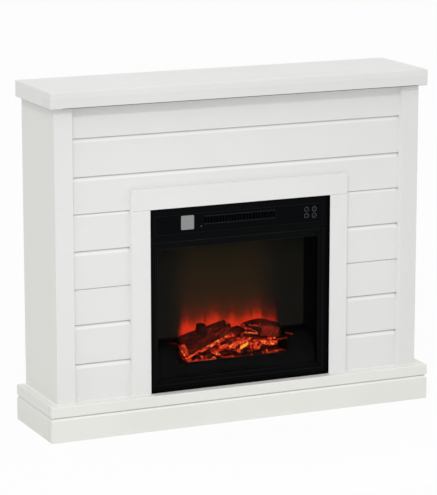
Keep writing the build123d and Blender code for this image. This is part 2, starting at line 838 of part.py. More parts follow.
def vents(plane, centre):
    """A row of vent slots in a sheet plate, cut against the plane's normal."""
    with BuildSketch(plane) as slots:
        with Locations(centre):
            with GridLocations(vent_pitch, vent_pitch, vent_slots, 1):
                SlotOverall(vent_length, vent_width, rotation=90)
    extrude(slots.sketch, amount=-sheet, mode=Mode.SUBTRACT)


with BuildPart() as casing_top_plate:
    block((-casing_half, casing_half), plate_y, (casing_lid, casing_top))
    block(flange_x, rear_flange_y, (casing_lid - casing_flange, casing_lid))
    vents(Plane.XY.offset(casing_top), (0, blower_y))
save(casing_top_plate.part, "casing_top")

gland_place = Plane((gland_x, casing_rear + sheet, casing_top - gland_drop), z_dir=(0, 1, 0))
with BuildPart() as casing_back:
    block((-casing_half, casing_half), (casing_rear, casing_rear + sheet), (casing_base, casing_top))
    # The plane looks to the front, so the slots are cut from the inner face backwards
    vents(Plane.XZ.offset(-casing_rear), (0, casing_top - vent_inset))
    for side, name in SIDES:
        screw_holes(casing_back_places(side), sheet)
    with Locations(gland_place):
        Cylinder(gland_radius + gland_gap, sheet, align=TOP, mode=Mode.SUBTRACT)
save(casing_back.part, "casing_back")

with BuildPart() as cord_gland:
    with Locations(gland_place):
        Cylinder(gland_flange_radius, gland_flange_thickness, align=BASE)
        Cylinder(gland_radius, gland_body_length, align=TOP)
    gland_rim = cord_gland.edges().filter_by(GeomType.CIRCLE).sort_by(Axis.Y)[-1]
    fillet(gland_rim, radius=gland_flange_thickness / 3)
    with Locations(gland_place):
        Cylinder(gland_bore_radius, gland_flange_thickness, align=BASE, mode=Mode.SUBTRACT)
        Cylinder(gland_bore_radius, gland_body_length, align=TOP, mode=Mode.SUBTRACT)
save(cord_gland.part, "cord_gland")

with BuildPart() as casing_screws:
    for side, name in SIDES:
        sheet_places = frame_flange_places(side) + casing_back_places(side) + insert_sheet_places(side)
        screws(sheet_places, sheet_screw_length)
save(casing_screws.part, "casing_screws")

# Firebox: side walls that clamp the glass, a ceiling plate and the flame screen
for side, name in SIDES:
    with BuildPart() as firebox_wall:
        inner_x = side * firebox_half
        outer_x = side * (firebox_half + sheet)
        block((inner_x, outer_x), (frame_back, screen_front), (casing_floor, ceiling_base))
        block(
            (inner_x, side * (firebox_half + wall_flange)),
            (frame_back, frame_back + sheet),
            (casing_floor, ceiling_base),
        )
    save(firebox_wall.part, f"firebox_{name}_wall")

with BuildPart() as firebox_ceiling:
    block(
        (-flange_inner_half, flange_inner_half),
        (frame_back, casing_rear - sheet),
        (ceiling_base, ceiling_top),
    )
save(firebox_ceiling.part, "firebox_ceiling")

with BuildPart() as flame_screen:
    screen_half = firebox_half + sheet
    block((-screen_half, screen_half), (screen_front, screen_back), (casing_floor, ceiling_base))
save(flame_screen.part, "flame_screen")

# Log tray: a hearth of sheet with a curved front, and an opening with a shelf that the ember bed stands on
tray_half = firebox_half - tray_gap


def hearth_slice(x, inset, mode=Mode.ADD):
    """The hearth's side outline between two x: an upright toe and a quarter ellipse up to the rear."""
    with BuildSketch(Plane.YZ.offset(x[0])) as outline:
        with BuildLine():
            rear, depth, rise = tray_rear - inset, hearth_depth - 2 * inset, hearth_rise - inset
            crest = EllipticalCenterArc((rear, toe_z), depth, rise, start_angle=90, arc_size=90)
            Polyline(crest @ 1, (rear - depth, casing_floor), (rear, casing_floor), crest @ 0)
        make_face()
    extrude(outline.sketch, amount=x[1] - x[0], mode=mode)


with BuildPart() as log_tray:
    tray_x = (-tray_half, tray_half)
    open_x = (-hearth_open_left, hearth_open_right)
    shelf_z = (tray_top - sheet, tray_top)
    hearth_slice(tray_x, 0)
    hearth_slice(tray_x, sheet, Mode.SUBTRACT)
    open_z = (tray_top, plinth_height + hearth_crest)
    block(open_x, (tray_face, tray_rear - sheet), open_z, Mode.SUBTRACT)
    block(open_x, (hearth_edge, tray_rear), shelf_z)
    hearth_slice((open_x[0] - sheet, open_x[0]), 0)
    hearth_slice((open_x[1], open_x[1] + sheet), 0)
    block(
        (-bed_left + tray_window_margin, bed_right - tray_window_margin),
        (bed_front + tray_window_margin, bed_back - tray_window_margin),
        shelf_z,
        Mode.SUBTRACT,
    )
save(log_tray.part, "log_tray")

# Ember bed: a moulded shell with an uneven crest, a rear ridge and a row of lumps along its front
bed_stations = rows(-bed_left, bed_right, len(bed_crest_heights))
bed_middle = (bed_right - bed_left) / 2
bed_half_width = (bed_left + bed_right) / 2


def crest_height(x):
    """The crest's height at x, on straight lines between its stations."""
    step = bed_stations[1] - bed_stations[0]
    left = min(int((x - bed_stations[0]) / step), len(bed_stations) - 2)
    share = (x - bed_stations[left]) / step
    return bed_crest_heights[left] + (bed_crest_heights[left + 1] - bed_crest_heights[left]) * share


def bed_loft(inset, mode):
    """The bed's section lofted through its stations, drawn in by an inset on all sides but the base."""
    sections = []
    for x, crest, ridge in zip(bed_stations, bed_crest_heights, bed_ridge_heights):
        corners = [
            (
                bed_front + back + inset * (1 - 2 * back / bed_depth),
                tray_top + crest_share * (crest - inset) + ridge_share * (ridge - inset),
            )
            for back, crest_share, ridge_share in zip(bed_corners, bed_crest_shares, bed_ridge_shares)
        ]
        inner_x = bed_middle + (x - bed_middle) * (1 - inset / bed_half_width)
        with BuildSketch(Plane.YZ.offset(inner_x)) as section:
            Polygon(*corners, align=None)
        sections.append(section.sketch)
    loft(sections, ruled=True, mode=mode)


with BuildPart() as bed_form:
    bed_loft(0, Mode.ADD)
    lump_back = bed_front + bed_corners[lump_corner]
    lump_share = bed_crest_shares[lump_corner]
    lump_x = rows(2 * lump_radius - bed_left, bed_right - 2 * lump_radius, lump_count)
    for lump, x in enumerate(lump_x):
        stagger = lump_radius / 2 * sin(lump_stagger_step * lump)
        lump_z = tray_top + lump_share * crest_height(x) - lump_radius / 4
        with Locations((x, lump_back + stagger, lump_z)):
            Sphere(lump_radius * (1 + lump_swing * sin(lump_size_step * lump)))
    block(
        (-bed_left, bed_right),
        (bed_front - lump_radius, bed_back),
        (tray_top - 2 * lump_radius, tray_top),
        Mode.SUBTRACT,
    )

with BuildPart() as ember_bed:
    add(bed_form.part)
    bed_loft(bed_wall, Mode.SUBTRACT)
save(ember_bed.part, "ember_bed")


def fire_point(across, back, up):
    """A point of the fire, measured from the ember bed's front edge and the tray's top."""
    return Vector(across, bed_front + back, tray_top + up)


def rough_log(ends, radii):
    """A log: uneven polygons along a straight axis, joined by ruled sides."""
    start, end = (fire_point(*point) for point in ends)
    axis = end - start
    sections = []
    for ring in range(log_rings):
        share = ring / (log_rings - 1)
        radius = radii[0] + (radii[1] - radii[0]) * share
        corners = []
        for facet in range(log_facets):
            turn = 2 * pi * facet / log_facets
            reach = radius * (1 + log_roughness * sin(log_lobes * turn + log_twist_step * ring))
            corners.append((reach * cos(turn), reach * sin(turn)))
        with BuildSketch(Plane(start + axis * share, x_dir=(0, 0, 1), z_dir=axis)) as section:
            Polygon(*corners, align=None)
        sections.append(section.sketch)
    loft(sections, ruled=True)


with BuildPart() as front_left_log:
    rough_log(front_left_log_ends, front_left_log_radii)
    add(bed_form.part, mode=Mode.SUBTRACT)
save(front_left_log.part, "front_left_log")

with BuildPart() as rear_left_log:
    rough_log(rear_left_log_ends, rear_left_log_radii)
    rough_log(rear_left_stub_ends, rear_left_stub_radii)
    add(bed_form.part, mode=Mode.SUBTRACT)
    add(front_left_log.part, mode=Mode.SUBTRACT)
save(rear_left_log.part, "rear_left_log")

with BuildPart() as right_log:
    rough_log(right_log_ends, right_log_radii)
    add(bed_form.part, mode=Mode.SUBTRACT)
save(right_log.part, "right_log")


def standing_board(x, y, floor, rise):
    """A circuit board on four posts."""
    block(x, y, (floor + rise, floor + rise + board_thickness))
    for post_x in (x[0] + standoff_inset, x[1] - standoff_inset):
        for post_y in (y[0] + standoff_inset, y[1] - standoff_inset):
            with Locations((post_x, post_y, floor)):
                Cylinder(standoff_radius, rise, align=BASE)


# LED board on the casing's floor, under the tray's window
led_board_y = (tray_face + tray_rear) / 2
with BuildPart() as led_board:
    standing_board(
        (-led_board_width / 2, led_board_width / 2),
        (led_board_y - led_board_depth / 2, led_board_y + led_board_depth / 2),
        casing_floor,
        led_board_rise,
    )
    with Locations((0, led_board_y, casing_floor + led_board_rise + board_thickness)):
        with GridLocations(led_board_width / led_count, led_board_depth / led_rows, led_count, led_rows):
            Box(led_size, led_size, led_height, align=BASE)
save(led_board.part, "led_board")

# Flicker spindle: a shaft with reflecting fins, turned by a small motor
spindle_motor_face = spindle_end - flicker_motor_length
spindle_y_span = (spindle_y - spindle_bracket_width / 2, spindle_y + spindle_bracket_width / 2)
with BuildPart() as flicker_spindle:
    shaft_length = spindle_motor_face + spindle_insert - spindle_end_gap + spindle_end
    rod((-spindle_end, spindle_y, spindle_z), shaft_length, spindle_radius)
    for fin in range(spindle_fin_count):
        with Locations(((fin - (spindle_fin_count - 1) / 2) * spindle_fin_pitch, spindle_y, spindle_z)):
            Box(
                spindle_fin_width,
                spindle_fin_diameter,
                spindle_fin_thickness,
                rotation=(spindle_fin_turn * fin, 0, 0),
            )
save(flicker_spindle.part, "flicker_spindle")

with BuildPart() as spindle_bracket:
    bracket_face = spindle_bracket_thickness - spindle_end
    bracket_top = spindle_z + spindle_bracket_width / 2
    block((-spindle_end, bracket_face), spindle_y_span, (casing_floor, bracket_top))
    foot_x = (bracket_face, bracket_face + spindle_bracket_foot)
    block(foot_x, spindle_y_span, (casing_floor, casing_floor + bracket_thickness))
    spindle_hole = spindle_radius + spindle_clearance
    rod((-spindle_end, spindle_y, spindle_z), spindle_bracket_thickness, spindle_hole, Mode.SUBTRACT)
save(spindle_bracket.part, "spindle_bracket")

with BuildPart() as flicker_motor:
    rod((spindle_motor_face, spindle_y, spindle_z), flicker_motor_length, flicker_motor_radius)
    block((spindle_end - bracket_thickness, spindle_end), spindle_y_span, (casing_floor, spindle_z))
    rod((spindle_motor_face, spindle_y, spindle_z), spindle_insert, spindle_hole, Mode.SUBTRACT)
save(flicker_motor.part, "flicker_motor")

# Blower housing: a scroll and duct of sheet between two side plates
scroll_radius = rotor_radius + scroll_gap
scroll_bottom = blower_z - scroll_radius
knee_y = blower_y - duct_knee
duct_low = blower_z + duct_front_low
duct_high = blower_z + duct_front_high
fan_hole = fan_shaft_radius + spindle_clearance
with BuildPart() as blower_housing:
    with BuildSketch(Plane.YZ.offset(-blower_half)):
        with BuildLine():
            Polyline((duct_front, duct_low), (knee_y, scroll_bottom), (blower_y, scroll_bottom))
            inner_arc = CenterArc((blower_y, blower_z), scroll_radius, -90, scroll_turn)
            outer_arc = CenterArc((blower_y, blower_z), scroll_radius + sheet, -90, scroll_turn)
            Line(inner_arc @ 1, outer_arc @ 1)
            Polyline(
                outer_arc @ 0,
                (knee_y, scroll_bottom - sheet),
                (duct_front, duct_low - sheet),
                (duct_front, duct_low),
            )
        make_face()
        tongue = (blower_y - duct_tongue_reach, blower_z + duct_tongue_rise)
        Polygon(
            tongue,
            (tongue[0], tongue[1] + sheet),
            (duct_front, duct_high + sheet),
            (duct_front, duct_high),
            align=None,
        )
    extrude(amount=2 * blower_half)
    side_outline = (
        (duct_front, duct_low - sheet),
        (knee_y, scroll_bottom - sheet),
        (knee_y, ceiling_top),
        (blower_y + blower_side_rear, ceiling_top),
        (blower_y + blower_side_rear, duct_high + sheet),
        (duct_front, duct_high + sheet),
    )
    for start in (-blower_half - sheet, blower_half):
        prism(side_outline, Plane.YZ.offset(start), sheet)
    rod((-blower_half - sheet, blower_y, blower_z), 2 * (blower_half + sheet), fan_hole, Mode.SUBTRACT)
save(blower_housing.part, "blower_housing")

# Fan rotor: discs and tilted blades on a shaft that carries the motor's rotor
stack_start = blower_half + sheet + motor_gap
stack_end = stack_start + motor_stack
bearing_start = stack_end + motor_bearing_gap
fan_axis = Plane((-rotor_length / 2, blower_y, blower_z), z_dir=(1, 0, 0))
with BuildPart() as fan_rotor:
    fan_start = -blower_half - sheet - fan_shaft_overhang
    fan_length = bearing_start + motor_bearing_thickness - spindle_end_gap - fan_start
    rod((fan_start, blower_y, blower_z), fan_length, fan_shaft_radius)
    for x in (-rotor_length / 2, -rotor_disc / 2, rotor_length / 2 - rotor_disc):
        rod((x, blower_y, blower_z), rotor_disc, rotor_radius)
    with Locations(fan_axis):
        with PolarLocations(rotor_radius - rotor_blade_inset, rotor_blades):
            Box(
                rotor_blade_width,
                rotor_blade_thickness,
                rotor_length,
                rotation=(0, 0, rotor_blade_tilt),
                align=BASE,
            )
    rod((stack_start, blower_y, blower_z), motor_stack, motor_rotor_radius)
save(fan_rotor.part, "fan_rotor")

# Fan motor: a laminated stack with its coil, a bearing plate and a foot
stack_z = (blower_z - motor_half_height, blower_z + motor_half_height)
strut_y = (blower_y - 2 * motor_bearing_strut, blower_y + 2 * motor_bearing_strut)
with BuildPart() as fan_motor:
    stack_front = blower_y - motor_half_width
    block((stack_start, stack_end), (stack_front, blower_y + motor_half_width), stack_z)
    block(
        (stack_start - motor_coil_overhang, stack_end + motor_coil_overhang),
        (stack_front - motor_coil_width, stack_front),
        (blower_z - motor_coil_half_height, blower_z + motor_coil_half_height),
    )
    block((bearing_start, bearing_start + motor_bearing_thickness), strut_y, stack_z)
    block((stack_end, bearing_start), strut_y, (stack_z[1] - motor_bearing_strut, stack_z[1]))
    block((stack_end, bearing_start), strut_y, (stack_z[0], stack_z[0] + motor_bearing_strut))
    block((stack_start, stack_end), strut_y, (ceiling_top, stack_z[0]))
    stack_bore = motor_rotor_radius + motor_air_gap
    rod((stack_start, blower_y, blower_z), motor_stack, stack_bore, Mode.SUBTRACT)
    rod((bearing_start, blower_y, blower_z), motor_bearing_thickness, fan_hole, Mode.SUBTRACT)
save(fan_motor.part, "fan_motor")

# Heating element: three bars across the duct with thin fins between them
heater_y = (frame_back + heater_setback, frame_back + heater_setback + heater_depth)
heater_z = blower_z + heater_rise
heater_span = (heater_z - heater_height / 2, heater_z + heater_height / 2)
with BuildPart() as heating_element:
    block((-blower_half, blower_half), heater_y, heater_span)
    fin_pitch = (2 * blower_half - heater_fin_thickness) / (heater_fins - 1)
    gap_height = (heater_height - 3 * heater_bar) / 2
    with BuildSketch(Plane.XZ.offset(-heater_y[1])):
        with Locations((0, heater_z)):
            with GridLocations(fin_pitch, gap_height + heater_bar, heater_fins - 1, 2):
                Rectangle(fin_pitch - heater_fin_thickness, gap_height)
    extrude(amount=heater_depth, mode=Mode.SUBTRACT)
save(heating_element.part, "heating_element")

with BuildPart() as thermal_cutout:
    cutout_spot = (-blower_half - sheet - cutout_height, frame_back + cutout_setback, blower_z + cutout_rise)
    rod(cutout_spot, cutout_height, cutout_radius)
    fillet(thermal_cutout.edges().filter_by(GeomType.CIRCLE).sort_by(Axis.X)[0], radius=cutout_height / 5)
save(thermal_cutout.part, "thermal_cutout")

# Power board beside the blower, with relays, a transformer, a capacitor and a terminal block
power_x = (power_board_side_gap - flange_half, power_board_side_gap - flange_half + power_board_width)
power_y = (frame_back + power_board_front_gap, frame_back + power_board_front_gap + power_board_depth)
power_top = ceiling_top + power_board_rise + board_thickness
with BuildPart() as power_board:
    standing_board(power_x, power_y, ceiling_top, power_board_rise)
    for relay in range(relay_count):
        with Locations((power_x[1] - relay_size, power_y[0] + relay_size + relay_pitch * relay, power_top)):
            Box(relay_size, relay_size, relay_size, align=BASE)
    with Locations((power_x[0] + transformer_size, power_y[0] + transformer_size, power_top)):
        Box(transformer_size, transformer_size, transformer_size, align=BASE)
    with Locations((power_x[0] + transformer_size, power_y[1] - transformer_size, power_top)):
        Cylinder(capacitor_radius, transformer_size, align=BASE)
save(power_board.part, "power_board")
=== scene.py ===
"""Electric fireplace: a white plank mantel, its black insert and the fire behind the glass."""
import json
import math

import bpy
import numpy as np
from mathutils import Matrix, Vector


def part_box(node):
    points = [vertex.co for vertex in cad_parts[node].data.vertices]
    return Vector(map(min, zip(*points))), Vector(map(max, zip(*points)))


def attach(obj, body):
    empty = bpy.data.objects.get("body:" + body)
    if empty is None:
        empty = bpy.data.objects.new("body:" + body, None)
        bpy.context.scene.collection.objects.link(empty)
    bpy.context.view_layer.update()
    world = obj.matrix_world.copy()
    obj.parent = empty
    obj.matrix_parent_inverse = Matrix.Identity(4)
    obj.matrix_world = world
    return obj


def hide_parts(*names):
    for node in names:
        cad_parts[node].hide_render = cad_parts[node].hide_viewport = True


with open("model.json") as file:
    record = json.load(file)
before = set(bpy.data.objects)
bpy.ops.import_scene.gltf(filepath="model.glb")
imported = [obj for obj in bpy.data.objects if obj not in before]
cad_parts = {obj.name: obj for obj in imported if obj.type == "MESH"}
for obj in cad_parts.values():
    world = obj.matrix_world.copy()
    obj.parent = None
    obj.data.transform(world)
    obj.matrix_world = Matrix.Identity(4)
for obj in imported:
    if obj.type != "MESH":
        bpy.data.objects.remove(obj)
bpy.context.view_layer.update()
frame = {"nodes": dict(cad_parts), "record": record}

# Fixed body that carries everything but the buttons, the spindle and the fan
MANTEL = "mantel"

# Places taken from the frame, in metres
panel_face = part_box("control_panel")[0].y
bed_low, bed_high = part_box("ember_bed")


# Node helpers


def place(tree, kind, inputs=None, **options):
    """Add a shader node, set its options, and fill or link its inputs by name or number."""
    made = tree.nodes.new("ShaderNode" + kind)
    for option, value in options.items():
        setattr(made, option, value)
    for key, value in (inputs or {}).items():
        if isinstance(value, bpy.types.NodeSocket):
            tree.links.new(value, made.inputs[key])
        else:
            made.inputs[key].default_value = value
    return made


def maths(tree, operation, first, second=0.0, clamp=False):
    """The result of one step of arithmetic."""
    inputs = {0: first, 1: second}
    return place(tree, "Math", inputs, operation=operation, use_clamp=clamp).outputs[0]


def eased(tree, value, low, high):
    """0 below low and 1 above high, with a smooth step between."""
    inputs = {"Value": value, "From Min": low, "From Max": high}
    return place(tree, "MapRange", inputs, interpolation_type="SMOOTHSTEP").outputs["Result"]


def share_of(tree, value, low, high):
    """0 below low and 1 above high, in a straight line between."""
    inputs = {"Value": value, "From Min": low, "From Max": high}
    return place(tree, "MapRange", inputs).outputs["Result"]


def stretched(tree, value, low, high):
    """A value from 0 to 1 stretched to run from low to high."""
    inputs = {"Value": value, "To Min": low, "To Max": high}
    return place(tree, "MapRange", inputs).outputs["Result"]


def blended(tree, share, low, high):
    """Two colours mixed by a share."""
    inputs = {0: share, 6: low, 7: high}
    return place(tree, "Mix", inputs, data_type="RGBA").outputs[2]


def combined(tree, operation, first, second):
    """Two colours added or multiplied."""
    inputs = {0: 1.0, 6: first, 7: second}
    return place(tree, "Mix", inputs, data_type="RGBA", blend_type=operation).outputs[2]


def graded(tree, value, stops):
    """A colour read from a ramp of (place, red, green, blue) stops."""
    made = place(tree, "ValToRGB", {0: value})
    elements = made.color_ramp.elements
    while len(elements) < len(stops):
        elements.new(1.0)
    for element, (position, *colour) in zip(elements, stops):
        element.position = position
        element.color = (*colour, 1.0)
    return made.outputs[0]


def grey(level):
    """An opaque grey."""
    return (level, level, level, 1.0)


def point_value(tree, label):
    """A value that the mesh keeps at its points under a name."""
    return place(tree, "Attribute", attribute_name=label).outputs["Fac"]


def object_place(tree, scale=(1, 1, 1)):
    """Object coordinates, stretched."""
    coordinates = place(tree, "TexCoord").outputs["Object"]
    return place(tree, "Mapping", {"Vector": coordinates, "Scale": scale}).outputs[0]


def cloud(tree, vector, scale, detail=3.0, roughness=0.5):
    """Noise from 0 to 1 at a scale in repeats per metre."""
    inputs = {"Vector": vector, "Scale": scale, "Detail": detail, "Roughness": roughness}
    return place(tree, "TexNoise", inputs).outputs[0]


def raised(tree, height, distance, strength=1.0):
    """A normal tilted by a height field, whose full height is a distance in metres."""
    inputs = {"Height": height, "Distance": distance, "Strength": strength}
    return place(tree, "Bump", inputs).outputs[0]


def effect_group(name, **inputs):
    """An empty shader node group and its float inputs."""
    tree = bpy.data.node_groups.new(name, "ShaderNodeTree")
    for label, value in inputs.items():
        socket = tree.interface.new_socket(label, in_out="INPUT", socket_type="NodeSocketFloat")
        socket.default_value = value
    return tree, tree.nodes.new("NodeGroupInput").outputs


def give_out(tree, **outputs):
    """Add the outputs of a node group, each a colour or a float like the socket that feeds it."""
    leave = tree.nodes.new("NodeGroupOutput").inputs
    for label, socket in outputs.items():
        kind = "NodeSocketColor" if socket.type == "RGBA" else "NodeSocketFloat"
        tree.interface.new_socket(label, in_out="OUTPUT", socket_type=kind)
        tree.links.new(socket, leave[label])
    return tree


def use_group(tree, group, **inputs):
    """The outputs of one use of a shader node group, with its own values."""
    return place(tree, "Group", inputs, node_tree=group).outputs


def finish(name, **uniform):
    """A new material and its node tree, with the shader's values that are the same all over it."""
    material = bpy.data.materials.new(name)
    material.use_nodes = True
    shader = material.node_tree.nodes["Principled BSDF"]
    for label, value in uniform.items():
        shader.inputs[label.replace("_", " ")].default_value = value
    return material, material.node_tree


def wire(material, **sockets):
    """Link outputs to the inputs of a material's shader, named with underscores for spaces."""
    tree = material.node_tree
    for label, socket in sockets.items():
        tree.links.new(socket, tree.nodes["Principled BSDF"].inputs[label.replace("_", " ")])
    return material


# Effects that several finishes share


def make_stipple():
    """The fine skin of paint, powder coat and plastic: small bumps, and slow drifts of tone and gloss."""
    tree, entry = effect_group("stipple", Bumps=900.0, Drift=9.0)
    where = object_place(tree)
    return give_out(
        tree,
        Height=cloud(tree, where, entry["Bumps"], 2.0),
        Tone=cloud(tree, where, entry["Drift"], 4.0, 0.6),
        Gloss=cloud(tree, where, maths(tree, "MULTIPLY", entry["Drift"], 3.0), 3.0),
    )


def make_brushing():
    """Fine lengthwise scratches on bare sheet metal, stretched along the width, and faint stains."""
    tree, entry = effect_group("brushing", Fineness=1.0)
    lengthwise = object_place(tree, scale=(40, 1600, 1600))
    return give_out(
        tree,
        Streak=cloud(tree, lengthwise, entry["Fineness"], 3.0),
        Stain=cloud(tree, object_place(tree), 60.0, 3.0),
    )


def make_ember_glow():
    """The colour that a glowing piece sends out, from black through deep red and orange to yellow, with
    mottling and with islands of char that have bright rims."""
    flecks, islands = 190.0, 105.0
    shore, rim_width, crust_width, rim_share = 0.50, 0.05, 0.10, 0.35
    tree, entry = effect_group("ember_glow", Heat=0.0, Mottle=0.25, Char=0.0)
    where = object_place(tree)
    fine = cloud(tree, where, flecks, 5.0, 0.65)
    swing = maths(tree, "MULTIPLY", maths(tree, "SUBTRACT", fine, 0.5), entry["Mottle"])
    coarse = cloud(tree, where, islands, 2.0, 0.55)
    from_shore = maths(tree, "ABSOLUTE", maths(tree, "SUBTRACT", coarse, shore))
    rim = maths(tree, "MULTIPLY", eased(tree, from_shore, rim_width, 0.0), rim_share)
    crust = maths(tree, "SUBTRACT", eased(tree, coarse, shore, shore + crust_width), rim)
    warm = maths(tree, "SUBTRACT", entry["Heat"], maths(tree, "MULTIPLY", crust, entry["Char"]))
    heat = maths(tree, "ADD", warm, maths(tree, "MULTIPLY", swing, 2.0), clamp=True)
    stops = (
        (0.0, 0.0, 0.0, 0.0),
        (0.25, 0.019, 0.0012, 0.0004),
        (0.45, 0.1, 0.0048, 0.0016),
        (0.62, 0.3, 0.011, 0.004),
        (0.78, 0.62, 0.03, 0.01),
        (0.9, 0.8, 0.115, 0.016),
        (1.0, 0.95, 0.36, 0.03),
    )
    return give_out(tree, Glow=graded(tree, heat, stops), Crust=fine)


stipple = make_stipple()
brushing = make_brushing()
ember_glow = make_ember_glow()


# Finishes


def coated(name, dark, pale, bumps, depth, gloss, shine=0.5, drift=9.0):
    """A painted, powder-coated or moulded skin between two close tones, with its stipple, gloss and shine."""
    material, tree = finish(name, Specular_IOR_Level=shine)
    skin = use_group(tree, stipple, Bumps=bumps, Drift=drift)
    return wire(
        material,
        Base_Color=blended(tree, skin["Tone"], (*dark, 1), (*pale, 1)),
        Roughness=stretched(tree, skin["Gloss"], *gloss),
        Normal=raised(tree, skin["Height"], depth, 0.5),
    )


def painted_board(name, level=1.0, side_highlight=1.0, under=0.64, crown=0.85, blue=0.988, groove=None):
    """Satin white paint over fibreboard at a level, with light and shade painted into its colour. Its
    reflectance goes from painted shade on undersides to painted light on tops by how far a face looks up,
    with a factor that paints a highlight on faces that look along X. A share of blue makes it warm. A groove
    is the depths (y) of its mouth and bottom: between them the paint turns from a painted highlight near the
    mouth to painted shade at the bottom, apart from the board's top and ends, which look straight up or along
    X."""
    upright, swing = 0.795, 0.04
    straight, sideways = (0.85, 0.95), (0.6, 0.95)
    material, tree = finish(name)
    skin = use_group(tree, stipple, Bumps=700.0, Drift=5.0)
    facing = place(tree, "NewGeometry").outputs["True Normal"]
    across, _, upward = place(tree, "SeparateXYZ", {0: facing}).outputs
    aside = maths(tree, "ABSOLUTE", across)

    def paint_by(share, levels):
        """The paint's colour from a ramp of (place, reflectance) levels."""
        return graded(tree, share, [(stop, white, white, blue * white) for stop, white in levels])

    # Painted shade on undersides and painted light on tops, by how far a face looks up
    levels = ((0.02, under), (0.4, upright), (0.6, upright), (1.0, crown))
    paint = paint_by(share_of(tree, upward, -1.0, 1.0), levels)
    if groove:
        mouth, bottom = groove
        depth = place(tree, "SeparateXYZ", {0: object_place(tree)}).outputs[1]
        # In a groove: a painted highlight near the mouth, then painted shade at the bottom
        shoulder_highlight = ((0.0, upright), (0.1, 0.87), (0.22, 0.89), (0.31, 0.84))
        levels = (*shoulder_highlight, (0.41, 0.66), (0.50, 0.42), (0.54, upright))
        groove_highlight_and_shade = paint_by(share_of(tree, depth, mouth, 2 * bottom - mouth), levels)
        outer = eased(tree, maths(tree, "MAXIMUM", aside, upward), *straight)
        paint = blended(tree, outer, groove_highlight_and_shade, paint)
    tone = blended(tree, skin["Tone"], grey((1 - swing) * level), grey((1 + swing) * level))
    # A painted highlight: faces that look along X are made paler
    turned = blended(tree, eased(tree, aside, *sideways), tone, grey(side_highlight * level))
    return wire(
        material,
        Base_Color=combined(tree, "MULTIPLY", paint, turned),
        Roughness=stretched(tree, skin["Gloss"], 0.42, 0.56),
        Normal=raised(tree, skin["Height"], 0.00002, 0.5),
    )


def bare_metal(name, dark, pale, gloss, fineness=1.0):
    """Bare or plated metal with brushed streaks and faint stains."""
    material, tree = finish(name, Metallic=1.0)
    marks = use_group(tree, brushing, Fineness=fineness)
    share = maths(tree, "MULTIPLY", maths(tree, "ADD", marks["Streak"], marks["Stain"]), 0.5)
    return wire(
        material,
        Base_Color=blended(tree, share, (*dark, 1), (*pale, 1)),
        Roughness=stretched(tree, marks["Stain"], *gloss),
        Normal=raised(tree, marks["Streak"], 0.00001, 0.5),
    )


def window_glass():
    """Smoked toughened glass with a slight drift of tone, and a low index that keeps reflections faint."""
    material, tree = finish("window_glass", Transmission_Weight=1.0, IOR=1.06, Roughness=0.0)
    drift = cloud(tree, object_place(tree), 4.0, 2.0)
    return wire(material, Base_Color=blended(tree, drift, (0.66, 0.66, 0.67, 1), (0.69, 0.69, 0.69, 1)))


